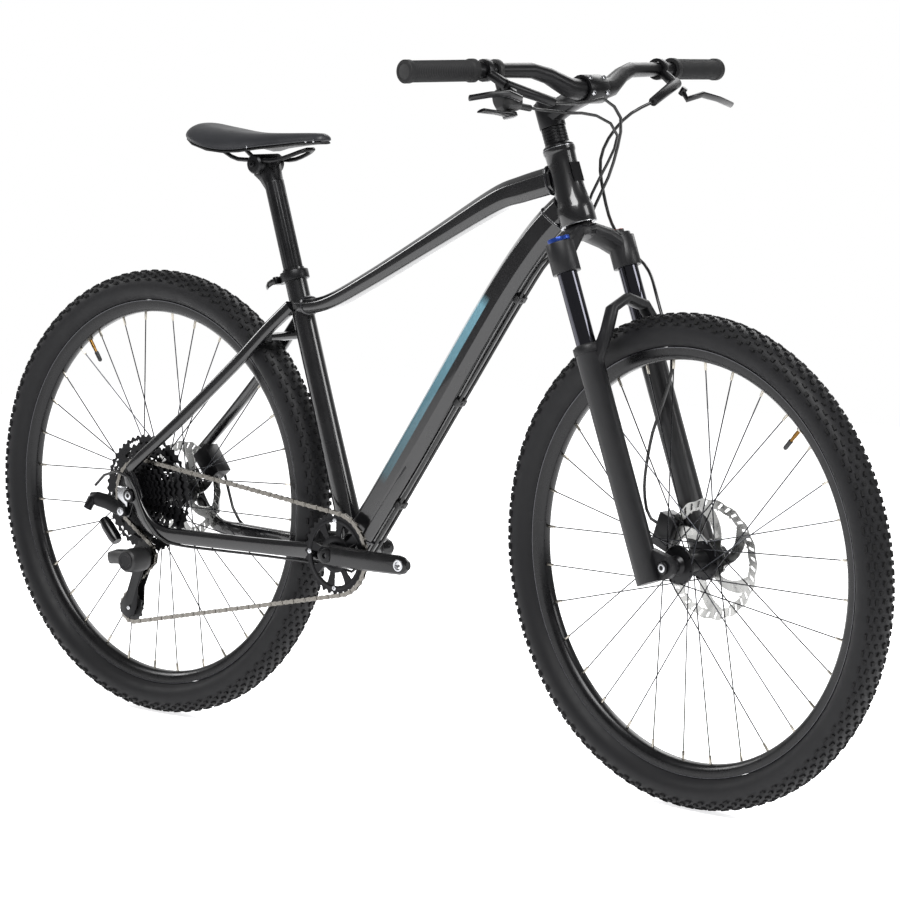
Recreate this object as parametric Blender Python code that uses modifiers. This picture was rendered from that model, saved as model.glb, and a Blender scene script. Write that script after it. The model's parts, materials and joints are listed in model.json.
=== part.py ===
"""A hardtail mountain bike with a suspension fork, built as separate pieces that move on their own joints.

Metres, +Z up, +X the way the bike rides, +Y its left. The ground is Z = 0 and the origin is the middle of
the bike's footprint. The steering assembly hangs from an empty on the steering axis, whose own Z runs up
that axis and whose own X points forward, so the fork and the bars are modelled straight in that frame.
"""

import math

import bmesh
import bpy
from mathutils import Matrix, Vector

GAP = 0.0003

# Wheels
TYRE_RADIUS = 0.366
SPOKES = 32
SPOKE_RADIUS = 0.0011
FLANGE_RADIUS = 0.027
WHEELBASE = 1.1009
HUB_Z = TYRE_RADIUS

# Frame
HEAD_ANGLE = math.radians(69.5)
SEAT_ANGLE = math.radians(72.1)
FORK_OFFSET = 0.046
FORK_LENGTH = 0.530
HEAD_TUBE_LENGTH = 0.118
STEER_AT_REST = math.radians(-4.9)
BB = Vector((0.432, 0.0, 0.312))
BB_HALF_WIDTH = 0.036
CUP_OUTER = 0.0425
POST_RADIUS = 0.0158
POST_BORE = 0.0162
POST_BORE_DEPTH = 0.30
SEAT_TUBE_LENGTH = 0.452
POST_TOP = 0.612
SADDLE_X = -0.009
SADDLE_H = 0.634
SADDLE_CLAMP_RADIUS = 0.0155

# Drivetrain
CHAIN_Y = -0.0475
CHAIN_HALF_WIDTH = 0.0024
CHAIN_HALF_HEIGHT = 0.004
CHAINRING_PITCH = 0.0648
COG_PITCH = 0.0567
PULLEY_PITCH = 0.0243
GUIDE_PULLEY = Vector((0.006, CHAIN_Y, 0.267))
TENSION_PULLEY = Vector((-0.020, CHAIN_Y, 0.177))
CRANK_LENGTH = 0.170
CRANK_TILT = math.radians(1.6)

# Fork and bars, in the steering frame
LEG_X = 0.013
LEG_Y = 0.065
STANCHION_RADIUS = 0.015
LOWER_TOP = -0.187
AXLE_X = FORK_OFFSET
BAR_X = 0.0856
BAR_Z = 0.182
BAR_HALF_WIDTH = 0.364
GRIP_LENGTH = 0.135
BAR_END_RADIUS = 0.0111
BAR_CLAMP_RADIUS = 0.0159
BAR_SWEEP = 0.0315
BAR_RISE = 0.040


def clear_scene():
    for obj in list(bpy.data.objects):
        bpy.data.objects.remove(obj, do_unlink=True)


def new_collection(name):
    group = bpy.data.collections.new(name)
    bpy.context.scene.collection.children.link(group)
    return group


def finish(name, colour, metallic, roughness):
    """A Principled material for one kind of surface."""
    made = bpy.data.materials.new(name)
    made.use_nodes = True
    shader = made.node_tree.nodes["Principled BSDF"]
    shader.inputs["Base Color"].default_value = (*colour, 1.0)
    shader.inputs["Metallic"].default_value = metallic
    shader.inputs["Roughness"].default_value = roughness
    return made


clear_scene()
PARTS = new_collection("mountain_bike")
CUTTERS = new_collection("cutters")

FRAME_PAINT = finish("frame_paint", (0.012, 0.012, 0.014), 0.3, 0.16)
SATIN_BLACK = finish("satin_black", (0.016, 0.016, 0.018), 0.5, 0.42)
MATTE_BLACK = finish("matte_black", (0.02, 0.02, 0.022), 0.0, 0.6)
FORK_BLACK = finish("fork_black", (0.025, 0.025, 0.028), 0.0, 0.45)
STANCHION_CHROME = finish("stanchion_chrome", (0.18, 0.18, 0.2), 1.0, 0.08)
RUBBER = finish("grip_rubber", (0.02, 0.02, 0.021), 0.0, 0.75)
TYRE_RUBBER = finish("tyre_rubber", (0.03, 0.03, 0.032), 0.0, 0.8)
RIM_BLACK = finish("rim_black", (0.01, 0.01, 0.011), 0.6, 0.25)
STEEL = finish("bare_steel", (0.55, 0.54, 0.52), 1.0, 0.3)
SPOKE_STEEL = finish("spoke_steel", (0.14, 0.14, 0.15), 1.0, 0.3)
CHAIN_STEEL = finish("chain_steel", (0.45, 0.41, 0.38), 1.0, 0.35)
COG_BLACK = finish("cog_black", (0.015, 0.015, 0.016), 0.7, 0.4)
DIAL_BLUE = finish("dial_blue", (0.01, 0.06, 0.6), 0.4, 0.35)
SADDLE_SKIN = finish("saddle_skin", (0.05, 0.05, 0.055), 0.0, 0.5)
HOSE_BLACK = finish("hose_black", (0.012, 0.012, 0.012), 0.0, 0.4)


def empty(name, location, parent=None, rotation=(0.0, 0.0, 0.0)):
    made = bpy.data.objects.new(name, None)
    made.location = location
    made.rotation_mode = "ZYX"
    made.rotation_euler = rotation
    made.parent = parent
    PARTS.objects.link(made)
    return made


def place(mesh, name, surface, parent=None, location=(0.0, 0.0, 0.0), rotation=(0.0, 0.0, 0.0)):
    """A mesh as a named part, moved and turned under its parent."""
    made = bpy.data.objects.new(name, mesh)
    made.location = location
    made.rotation_euler = rotation
    made.parent = parent
    mesh.materials.append(surface)
    mesh.shade_smooth()
    mesh.set_sharp_from_angle(angle=math.radians(35))
    PARTS.objects.link(made)
    return made


def mesh_of(work, name):
    bmesh.ops.recalc_face_normals(work, faces=work.faces)
    mesh = bpy.data.meshes.new(name)
    work.to_mesh(mesh)
    work.free()
    return mesh


def box(name, size, middle=(0.0, 0.0, 0.0), turn=None):
    work = bmesh.new()
    bmesh.ops.create_cube(work, size=1.0)
    bmesh.ops.scale(work, vec=size, verts=work.verts)
    if turn is not None:
        bmesh.ops.transform(work, matrix=turn, verts=work.verts)
    bmesh.ops.translate(work, vec=middle, verts=work.verts)
    return mesh_of(work, name)


def rod(name, start, end, radius, sides=16, end_radius=None):
    """A straight round bar, or a cone when end_radius is given."""
    start, end = Vector(start), Vector(end)
    along = end - start
    turn = along.to_track_quat("Z", "Y").to_matrix().to_4x4()
    work = bmesh.new()
    bmesh.ops.create_cone(
        work, cap_ends=True, segments=sides, radius1=radius,
        radius2=radius if end_radius is None else end_radius, depth=along.length,
    )
    bmesh.ops.transform(work, matrix=Matrix.Translation((start + end) / 2) @ turn, verts=work.verts)
    return mesh_of(work, name)


def turned(name, profile, steps, axis="Z", closed=True):
    """Revolves a profile of (radius, height) points about Z, or about Y with the height along Y."""
    work = bmesh.new()
    ring = [work.verts.new((radius, 0.0, height)) for radius, height in profile]
    ends = ring if closed else ring[:-1]
    for index, point in enumerate(ends):
        work.edges.new((point, ring[(index + 1) % len(ring)]))
    mesh = bpy.data.meshes.new(name)
    work.to_mesh(mesh)
    work.free()
    guide = bpy.data.objects.new(name + "_profile", mesh)
    CUTTERS.objects.link(guide)
    screw = guide.modifiers.new("turn", "SCREW")
    screw.steps = steps
    screw.render_steps = steps
    screw.use_merge_vertices = True
    screw.merge_threshold = 0.00001
    made = evaluated_mesh(guide, name)
    bpy.data.objects.remove(guide)
    work = bmesh.new()
    work.from_mesh(made)
    bpy.data.meshes.remove(made)
    if axis == "Y":
        bmesh.ops.transform(work, matrix=Matrix.Rotation(math.radians(-90), 4, "X"), verts=work.verts)
    return mesh_of(work, name)


def evaluated_mesh(obj, name):
    graph = bpy.context.evaluated_depsgraph_get()
    mesh = bpy.data.meshes.new_from_object(obj.evaluated_get(graph))
    mesh.name = name
    return mesh


def loft(name, stations, sides=12, grow=0.0, across=(0.0, 1.0, 0.0)):
    """A tube through (point, half width, half height, squareness) stations, widest along across.

    Squareness 2 is an ellipse and higher powers are boxier. grow swells the section for a cutter.
    """
    points = [Vector(station[0]) for station in stations]
    rings = []
    for index, (_, half_width, half_height, power) in enumerate(stations):
        before = points[max(index - 1, 0)]
        after = points[min(index + 1, len(points) - 1)]
        along = (after - before).normalized()
        side = Vector(across)
        side = (side - along * side.dot(along)).normalized()
        up = along.cross(side)
        ring = []
        for step in range(sides):
            angle = 2 * math.pi * (step + 0.5) / sides
            cos, sin = math.cos(angle), math.sin(angle)
            reach = (abs(cos) ** power + abs(sin) ** power) ** (-1 / power)
            offset = side * (half_width + grow) * cos * reach + up * (half_height + grow) * sin * reach
            ring.append(points[index] + offset)
        rings.append(ring)
    return skin(name, rings)


def skin(name, rings, endless=False):
    """A solid through rings of points, capped at both ends, or joined end to end when endless."""
    work = bmesh.new()
    loops = [[work.verts.new(point) for point in ring] for ring in rings]
    pairs = list(zip(loops, loops[1:]))
    if endless:
        pairs.append((loops[-1], loops[0]))
    else:
        work.faces.new(loops[0][::-1])
        work.faces.new(loops[-1])
    for one, two in pairs:
        for step in range(len(one)):
            after = (step + 1) % len(one)
            work.faces.new((one[step], one[after], two[after], two[step]))
    return mesh_of(work, name)


def smooth_path(points, count):
    """Evenly spread points on a smooth curve through the given ones."""
    knots = [Vector(point) for point in points]
    dense = []
    for index in range(len(knots) - 1):
        first = knots[max(index - 1, 0)]
        last = knots[min(index + 2, len(knots) - 1)]
        start, end = knots[index], knots[index + 1]
        leave, arrive = (end - first) / 2, (last - start) / 2
        for step in range(24):
            t = step / 24
            dense.append(
                start * (2 * t**3 - 3 * t**2 + 1) + leave * (t**3 - 2 * t**2 + t)
                + end * (3 * t**2 - 2 * t**3) + arrive * (t**3 - t**2)
            )
    dense.append(knots[-1])
    lengths = [0.0]
    for one, two in zip(dense, dense[1:]):
        lengths.append(lengths[-1] + (two - one).length)
    even = []
    index = 0
    for step in range(count):
        wanted = lengths[-1] * step / (count - 1)
        while index < len(dense) - 2 and lengths[index + 1] < wanted:
            index += 1
        share = (wanted - lengths[index]) / (lengths[index + 1] - lengths[index])
        even.append(dense[index].lerp(dense[index + 1], min(share, 1.0)))
    return even


def wire(name, points, radius, resolution=2):
    """A round wire along the points, as a mesh with its caps welded."""
    curve = bpy.data.curves.new(name, "CURVE")
    curve.dimensions = "3D"
    curve.bevel_depth = radius
    curve.bevel_resolution = resolution
    curve.use_fill_caps = True
    spline = curve.splines.new("POLY")
    spline.points.add(len(points) - 1)
    for knot, point in zip(spline.points, points):
        knot.co = (*point, 1.0)
    guide = bpy.data.objects.new(name, curve)
    CUTTERS.objects.link(guide)
    mesh = evaluated_mesh(guide, name)
    bpy.data.objects.remove(guide)
    work = bmesh.new()
    work.from_mesh(mesh)
    bpy.data.meshes.remove(mesh)
    bmesh.ops.remove_doubles(work, verts=work.verts, dist=0.00001)
    return mesh_of(work, name)


def plate(name, outlines, thickness, matrix):
    """A flat plate drawn in XY and then placed: the first outline is its edge, the others are holes."""
    curve = bpy.data.curves.new(name, "CURVE")
    curve.dimensions = "2D"
    curve.fill_mode = "BOTH"
    curve.extrude = thickness / 2
    for outline in outlines:
        spline = curve.splines.new("POLY")
        spline.points.add(len(outline) - 1)
        spline.use_cyclic_u = True
        for knot, (x, y) in zip(spline.points, outline):
            knot.co = (x, y, 0.0, 1.0)
    guide = bpy.data.objects.new(name, curve)
    CUTTERS.objects.link(guide)
    mesh = evaluated_mesh(guide, name)
    bpy.data.objects.remove(guide)
    work = bmesh.new()
    work.from_mesh(mesh)
    bpy.data.meshes.remove(mesh)
    bmesh.ops.remove_doubles(work, verts=work.verts, dist=0.00001)
    bmesh.ops.transform(work, matrix=matrix, verts=work.verts)
    return mesh_of(work, name)


def circle(radius, count, middle=(0.0, 0.0), start=0.0):
    return [
        (
            middle[0] + radius * math.cos(start + 2 * math.pi * step / count),
            middle[1] + radius * math.sin(start + 2 * math.pi * step / count),
        )
        for step in range(count)
    ]


def combine(mesh, others, operation, name):
    """The Boolean of a mesh with others, all in one frame, as a new mesh. The others are used up."""
    for other in others:
        base = bpy.data.objects.new(name, mesh)
        helper = bpy.data.objects.new(name + "_other", other)
        CUTTERS.objects.link(base)
        CUTTERS.objects.link(helper)
        modifier = base.modifiers.new(operation.lower(), "BOOLEAN")
        modifier.operation = operation
        modifier.object = helper
        made = evaluated_mesh(base, name)
        bpy.data.objects.remove(base)
        bpy.data.objects.remove(helper)
        work = bmesh.new()
        work.from_mesh(made)
        bpy.data.meshes.remove(made)
        bmesh.ops.remove_doubles(work, verts=work.verts, dist=0.000005)
        mesh = mesh_of(work, name)
    return mesh


def union(name, first, *others):
    return combine(first, others, "UNION", name)


def cut(name, first, *others):
    return combine(first, others, "DIFFERENCE", name)


# Plate drawings lie in XY; this stands them up in XZ, with the thickness along Y.
UPRIGHT = Matrix.Rotation(math.radians(90), 4, "X")


def upright(x, y, z, tilt=0.0):
    return Matrix.Translation((x, y, z)) @ Matrix.Rotation(-tilt, 4, "Y") @ UPRIGHT


# ---------------------------------------------------------------- axes and reference points
BIKE = empty("bike", (0.0, 0.0, 0.0))
LEAN = HEAD_ANGLE - math.radians(90)
UP_STEERER = Vector((math.sin(LEAN), 0.0, math.cos(LEAN)))
AHEAD = Vector((math.cos(LEAN), 0.0, -math.sin(LEAN)))
HEAD_BASE = Vector((WHEELBASE, 0.0, HUB_Z)) - AHEAD * FORK_OFFSET + UP_STEERER * FORK_LENGTH
HEAD_TOP = HEAD_BASE + UP_STEERER * HEAD_TUBE_LENGTH
UP_SEAT = Vector((-math.cos(SEAT_ANGLE), 0.0, math.sin(SEAT_ANGLE)))
SEAT_LEAN = SEAT_ANGLE - math.radians(90)

HEAD = empty("head_axis", HEAD_BASE, BIKE, (0.0, LEAN, 0.0))
STEERING = empty("steering_axis", HEAD_BASE, BIKE, (0.0, LEAN, STEER_AT_REST))
SEAT = empty("seat_axis", BB, BIKE, (0.0, SEAT_LEAN, 0.0))
FRONT_AXLE = empty("front_axle_line", (AXLE_X, 0.0, -FORK_LENGTH), STEERING, (0.0, -LEAN, 0.0))
REAR_AXLE = empty("rear_axle_line", (0.0, 0.0, HUB_Z), BIKE)
CRANK_AXIS = empty("crank_axis", BB, BIKE)


# ---------------------------------------------------------------- frame
HEAD_PROFILE = [
    (0.0245, 0.118), (0.0245, 0.112), (0.0232, 0.110), (0.0225, 0.085), (0.0240, 0.045),
    (0.0268, 0.030), (0.0280, 0.026), (0.0280, 0.0),
]


def head_solid(grow):
    """The outside of the head tube, filled in, in world space."""
    low, high = HEAD_PROFILE[-1][1], HEAD_PROFILE[0][1]
    ends = {high: high + 0.001, low: low - 0.001}
    wall = [(radius + grow, ends.get(z, z)) for radius, z in HEAD_PROFILE]
    profile = [(0.0, high + 0.001)] + wall + [(0.0, low - 0.001)]
    mesh = turned("head_solid", profile, 20, closed=False)
    mesh.transform(Matrix.Translation(HEAD_BASE) @ Matrix.Rotation(LEAN, 4, "Y"))
    return mesh


def make_head_tube():
    bore = [(0.0165, 0.0), (0.0165, 0.118)]
    place(turned("head_tube", HEAD_PROFILE + bore, 20), "head_tube", FRAME_PAINT, HEAD)


def along_seat(distance, x=0.0, y=0.0):
    ahead = Vector((math.sin(SEAT_ANGLE), 0.0, math.cos(SEAT_ANGLE)))
    return BB + UP_SEAT * distance + ahead * x + Vector((0, y, 0))


SEAT_TUBE = [
    (along_seat(0.0), 0.0200, 0.0180, 2.6),
    (along_seat(0.080), 0.0180, 0.0190, 2.4),
    (along_seat(0.240), 0.0178, 0.0180, 2.0),
    (along_seat(SEAT_TUBE_LENGTH), 0.0178, 0.0178, 2.0),
]
TOP_TUBE = [
    (HEAD_TOP + UP_STEERER * -0.048, 0.0210, 0.0215, 3.2),
    ((0.770, 0.0, 0.895), 0.0205, 0.0205, 3.2),
    ((0.716, 0.0, 0.877), 0.0195, 0.0185, 3.2),
    ((0.600, 0.0, 0.816), 0.0180, 0.0150, 3.0),
    ((0.460, 0.0, 0.742), 0.0180, 0.0125, 3.0),
    ((0.370, 0.0, 0.700), 0.0190, 0.0120, 3.0),
    (along_seat(0.398), 0.0200, 0.0125, 3.0),
]
DOWN_TUBE = [
    (HEAD_BASE + UP_STEERER * 0.032, 0.0230, 0.0240, 3.4),
    ((0.800, 0.0, 0.823), 0.0250, 0.0250, 3.4),
    ((0.720, 0.0, 0.722), 0.0270, 0.0255, 3.6),
    ((0.560, 0.0, 0.492), 0.0280, 0.0260, 3.6),
    (BB, 0.0300, 0.0240, 3.6),
]


def bb_solid(grow):
    half = CUP_OUTER + grow
    mesh = rod("bb_solid", (0, -half, 0), (0, half, 0), 0.0215 + grow + 0.0002, 16)
    mesh.transform(Matrix.Translation(BB))
    return mesh


def make_main_tubes():
    seat = cut(
        "seat_tube", loft("seat_tube", SEAT_TUBE, 16), bb_solid(GAP), loft("down", DOWN_TUBE, grow=GAP),
        rod(
            "bore", along_seat(SEAT_TUBE_LENGTH - POST_BORE_DEPTH), along_seat(SEAT_TUBE_LENGTH + 0.01),
            POST_BORE, 20
        ),
    )
    place(seat, "seat_tube", FRAME_PAINT, BIKE)
    top = cut("top_tube", loft("top_tube", TOP_TUBE), head_solid(GAP), loft("seat", SEAT_TUBE, 16, grow=GAP))
    place(top, "top_tube", FRAME_PAINT, BIKE)
    down = cut(
        "down_tube", loft("down_tube", DOWN_TUBE), head_solid(GAP), loft("top", TOP_TUBE, grow=GAP),
        bb_solid(GAP),
        rod("crown_room", HEAD_BASE - UP_STEERER * 0.080, HEAD_BASE + UP_STEERER * 0.0005, 0.0400, 20),
    )
    place(union("down_tube", down, *cable_guides()), "down_tube", FRAME_PAINT, BIKE)


DOWN_SLOPE = math.atan2(0.230, 0.160)
BELOW_DOWN = Vector((math.sin(DOWN_SLOPE), 0.0, -math.cos(DOWN_SLOPE)))
HOSE_DROP = 0.0296
HOSE_SPREAD = 0.006
HOSE_RADIUS = 0.0025
GUIDE_X = (0.738, 0.621, 0.503)


def under_down(x, y):
    """A point beside the down tube's underside, where the hose and the housing run."""
    for (upper, *_), (lower, *_) in zip(DOWN_TUBE, DOWN_TUBE[1:]):
        if x >= lower[0]:
            break
    share = (x - lower[0]) / (upper[0] - lower[0])
    return Vector((x, y, lower[2] + share * (upper[2] - lower[2]))) + BELOW_DOWN * HOSE_DROP


def cable_guides():
    """Three double guides under the down tube, each a small bridge that the hose and the housing pass."""
    guides = []
    turn = Matrix.Rotation(-DOWN_SLOPE, 4, "Y")
    along = Vector((math.cos(DOWN_SLOPE), 0.0, math.sin(DOWN_SLOPE)))
    for x in GUIDE_X:
        guide = box("guide", (0.012, 0.0225, 0.013), under_down(x, 0.0) - BELOW_DOWN * 0.001, turn)
        tunnels = []
        for side in (-1, 1):
            centre = under_down(x, side * HOSE_SPREAD)
            tunnels.append(
                rod("tunnel", centre - along * 0.02, centre + along * 0.02, HOSE_RADIUS + 0.0007, 8)
            )
        guides.append(cut("guide", guide, *tunnels))
    return guides


def make_bottom_bracket():
    """The shell with its two bearing cups, bored for the spindle."""
    profile = [
        (0.0126, -CUP_OUTER), (0.0200, -CUP_OUTER), (0.0212, -0.0400), (0.0212, -0.0366),
        (0.0215, -BB_HALF_WIDTH),
        (0.0215, BB_HALF_WIDTH), (0.0212, 0.0366), (0.0212, 0.0400), (0.0200, CUP_OUTER), (0.0126, CUP_OUTER),
    ]
    place(turned("bottom_bracket", profile, 16, "Y"), "bottom_bracket", FRAME_PAINT, CRANK_AXIS)


def side_stations(stations, side):
    return [((x, side * y, z), w, h, p) for (x, y, z), w, h, p in stations]


CHAINSTAY = [
    ((0.425, 0.0300, 0.312), 0.0055, 0.0170, 3.0),
    ((0.395, 0.0345, 0.311), 0.0058, 0.0155, 3.0),
    ((0.340, 0.0365, 0.309), 0.0060, 0.0130, 3.4),
    ((0.250, 0.0450, 0.308), 0.0075, 0.0120, 3.4),
    ((0.120, 0.0600, 0.308), 0.0080, 0.0120, 3.4),
    ((0.070, 0.0655, 0.310), 0.0075, 0.0115, 3.2),
    ((0.040, 0.0695, 0.324), 0.0060, 0.0110, 3.0),
    ((0.016, 0.0715, 0.352), 0.0038, 0.0110, 3.0),
    ((-0.002, 0.0715, 0.388), 0.0038, 0.0110, 3.0),
    ((-0.008, 0.0715, 0.402), 0.0035, 0.0090, 3.0),
]
SEATSTAY = [
    ((-0.010, 0.0705, 0.404), 0.0045, 0.0080, 3.0),
    ((0.020, 0.0690, 0.431), 0.0060, 0.0085, 3.0),
    ((0.100, 0.0580, 0.498), 0.0070, 0.0090, 3.0),
    ((0.200, 0.0430, 0.588), 0.0070, 0.0095, 3.0),
    ((0.262, 0.0310, 0.650), 0.0075, 0.0100, 3.0),
    ((0.306, 0.0200, 0.691), 0.0100, 0.0105, 3.0),
]


def make_stays():
    """Each chainstay carries its dropout plate, and the right one the derailleur hanger."""
    for side, word in ((-1, "right"), (1, "left")):
        stay = loft("chainstay_" + word, side_stations(CHAINSTAY, side))
        outline = [
            (-0.014, 0.042), (-0.018, 0.010), (-0.016, -0.012), (0.0, -0.017), (0.020, -0.014), (0.026, 0.0),
            (0.012, 0.030), (-0.002, 0.046),
        ]
        if side < 0:
            outline[2:4] = [(-0.020, -0.016), (-0.017, -0.036), (-0.004, -0.037), (0.004, -0.017)]
        drop = plate("dropout", [outline], 0.0060, upright(0.0, side * 0.0705, HUB_Z))
        hole = rod("hole", (0.0, side * 0.060, HUB_Z), (0.0, side * 0.080, HUB_Z), 0.0064, 16)
        whole = union("chainstay_" + word, stay, drop)
        place(cut("chainstay_" + word, whole, bb_solid(GAP), hole), "chainstay_" + word, FRAME_PAINT, BIKE)
        upper = loft("seatstay_" + word, side_stations(SEATSTAY, side))
        lower = loft("chainstay_cut", side_stations(CHAINSTAY, side), grow=GAP)
        drop = plate("dropout_cut", [outline], 0.0067, upright(0.0, side * 0.0705, HUB_Z))
        upper = cut(
            "seatstay_" + word, upper, lower, drop, loft("seat", SEAT_TUBE, 16, grow=GAP),
            loft("top", TOP_TUBE, grow=GAP),
        )
        place(upper, "seatstay_" + word, FRAME_PAINT, BIKE)


# ---------------------------------------------------------------- seat
CLAMP_LOW = SEAT_TUBE_LENGTH - 0.012
LEVER_PIVOT = Vector((-0.0290, -0.0138, CLAMP_LOW + 0.0075))


def make_seat_clamp():
    """A split collar with two ears behind it and a lever that swings about a pin along the tube."""
    collar = turned(
        "collar",
        [
            (0.0228, 0.0150), (0.0228, 0.0), (0.0182, 0.0), (0.0182, 0.0125), (0.0165, 0.0125),
            (0.0165, 0.0150),
        ],
        18,
    )
    ears = box("ears", (0.016, 0.018, 0.012), (-0.027, 0.0, 0.0075))
    slot = box("slot", (0.030, 0.002, 0.020), (-0.031, 0.0, 0.0075))
    mesh = cut("seat_clamp", union("seat_clamp", collar, ears), slot)
    place(mesh, "seat_clamp", SATIN_BLACK, SEAT, (0.0, 0.0, CLAMP_LOW))
    pivot = empty("clamp_lever_axis", LEVER_PIVOT, SEAT)
    barrel = rod("barrel", (0, 0, -0.006), (0, 0, 0.006), 0.0045, 16)
    blade = loft(
        "blade",
        [
            ((-0.001, 0.0, 0.0), 0.0045, 0.0024, 2.6), ((-0.010, 0.0, 0.0), 0.0050, 0.0022, 2.6),
            ((-0.022, 0.004, -0.001), 0.0050, 0.0018, 2.6), ((-0.034, 0.012, -0.003), 0.0042, 0.0016, 2.6),
        ],
        12, across=(0.0, 0.0, 1.0),
    )
    place(union("seat_clamp_lever", barrel, blade), "seat_clamp_lever", SATIN_BLACK, pivot)


def make_seat_post():
    """The post with a forged head whose round cradle takes the saddle clamp."""
    low = SEAT_TUBE_LENGTH - 0.135
    tube = rod("tube", (0, 0, low), (0, 0, POST_TOP - 0.010), POST_RADIUS, 20)
    head = loft(
        "head",
        [
            ((0.0, 0, POST_TOP - 0.020), 0.0150, 0.0150, 2.0), ((-0.004, 0, POST_TOP), 0.0165, 0.0190, 2.4),
            ((-0.008, 0, POST_TOP + 0.014), 0.0185, 0.0235, 3.0),
        ],
        12,
    )
    scoop = rod(
        "scoop", (SADDLE_X, -0.030, SADDLE_H), (SADDLE_X, 0.030, SADDLE_H), SADDLE_CLAMP_RADIUS + GAP, 20
    )
    place(cut("seat_post", union("seat_post", tube, head), scoop), "seat_post", SATIN_BLACK, SEAT)


RAIL_Y = 0.022
RAIL_Z = 0.0065
RAIL_RADIUS = 0.0035
# Along the saddle: x, half width, middle height, half thickness, how far the edges hang.
SADDLE_SECTIONS = [
    (-0.1370, 0.030, 0.0520, 0.0060, 0.003),
    (-0.1345, 0.045, 0.0510, 0.0105, 0.005),
    (-0.1135, 0.066, 0.0480, 0.0125, 0.012),
    (-0.0685, 0.071, 0.0430, 0.0130, 0.018),
    (-0.0135, 0.052, 0.0390, 0.0120, 0.015),
    (0.0415, 0.030, 0.0400, 0.0115, 0.007),
    (0.0965, 0.0200, 0.0430, 0.0100, 0.003),
    (0.1250, 0.0175, 0.0440, 0.0090, 0.002),
    (0.1335, 0.0110, 0.0430, 0.0065, 0.001),
]


def make_saddle():
    """The padded top, its bent rails and the round clamp that tips in the cradle of the post."""
    axis = empty("saddle_axis", (SADDLE_X, 0.0, SADDLE_H), SEAT, (0.0, -SEAT_LEAN, 0.0))
    rings = []
    for x, half_width, middle, half_height, hang in SADDLE_SECTIONS:
        ring = []
        for step in range(20):
            angle = 2 * math.pi * (step + 0.5) / 20
            across = math.copysign(abs(math.cos(angle)) ** 0.8, math.cos(angle))
            height = middle + half_height * math.sin(angle) - hang * across * across
            ring.append(Vector((x, half_width * across, height)))
        rings.append(ring)
    place(skin("saddle", rings), "saddle", SADDLE_SKIN, axis)
    right = [
        (-0.0780, -0.0280, 0.0235), (-0.0600, -0.0245, 0.0140), (-0.0420, -RAIL_Y, RAIL_Z),
        (0.0, -RAIL_Y, RAIL_Z), (0.0350, -RAIL_Y, RAIL_Z), (0.0620, -0.0190, 0.0130),
        (0.0920, -0.0110, 0.0240),
    ]
    left = [(x, -y, z) for x, y, z in reversed(right)]
    path = smooth_path(right + [(0.0985, 0.0, 0.0265)] + left, 28)
    place(wire("saddle_rails", path, RAIL_RADIUS), "saddle_rails", SATIN_BLACK, axis)
    drum = rod("drum", (0, -0.026, 0), (0, 0.026, 0), SADDLE_CLAMP_RADIUS, 20)
    tunnels = [
        rod("tunnel", (-0.03, side * RAIL_Y, RAIL_Z), (0.03, side * RAIL_Y, RAIL_Z), RAIL_RADIUS + 0.0009, 10)
        for side in (-1, 1)
    ]
    place(cut("rail_clamp", drum, *tunnels), "rail_clamp", SATIN_BLACK, axis)


# ---------------------------------------------------------------- cranks and chain
SPINDLE_RADIUS = 0.0120
BOSS_RADIUS = 0.0180
# Along an arm from the spindle: distance, middle y, half height, half thickness.
ARM_STATIONS = [
    (-0.0175, 0.0625, 0.0060, 0.0075), (-0.0140, 0.0625, 0.0120, 0.0082), (-0.0060, 0.0628, 0.0168, 0.0085),
    (0.0100, 0.0632, 0.0175, 0.0085), (0.0450, 0.0690, 0.0165, 0.0085), (0.0900, 0.0772, 0.0158, 0.0078),
    (0.1350, 0.0835, 0.0152, 0.0068), (0.1700, 0.0855, 0.0150, 0.0060), (0.1800, 0.0855, 0.0125, 0.0058),
    (0.1865, 0.0855, 0.0060, 0.0055),
]


def crank_arm(name, side):
    """One arm pointing forward, on the side given, with its boss and the hole for a pedal."""
    stations = [((x, side * y, 0.0), tall, thick, 3.2) for x, y, tall, thick in ARM_STATIONS]
    arm = loft(name, stations, 12, across=(0.0, 0.0, 1.0))
    boss = rod("boss", (0, side * 0.0440, 0), (0, side * 0.0600, 0), BOSS_RADIUS, 18)
    hole = rod("hole", (CRANK_LENGTH, side * 0.070, 0), (CRANK_LENGTH, side * 0.100, 0), 0.0071, 12)
    return cut(name, union(name, arm, boss), hole)


def make_cranks():
    """The right arm carries the spindle through the frame; the left arm slides over the end of it."""
    spindle = rod("spindle", (0, -0.060, 0), (0, 0.0640, 0), SPINDLE_RADIUS, 16)
    right = union("crank_right", crank_arm("crank_right", -1), spindle)
    place(right, "crank_right", SATIN_BLACK, CRANK_AXIS, rotation=(0.0, -CRANK_TILT, 0.0))
    socket = rod("socket", (0, 0.030, 0), (0, 0.0645, 0), SPINDLE_RADIUS + GAP, 16)
    left = cut("crank_left", crank_arm("crank_left", 1), socket)
    place(left, "crank_left", SATIN_BLACK, CRANK_AXIS, rotation=(0.0, math.pi - CRANK_TILT, 0.0))


def window(inner, outer, middle, half_angle, count=4):
    """The outline of a ring-shaped opening between two radii."""
    outline = []
    for step in range(count + 1):
        angle = middle - half_angle + 2 * half_angle * step / count
        outline.append((outer * math.cos(angle), outer * math.sin(angle)))
    for step in range(count + 1):
        angle = middle + half_angle - 2 * half_angle * step / count
        outline.append((inner * math.cos(angle), inner * math.sin(angle)))
    return outline


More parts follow.
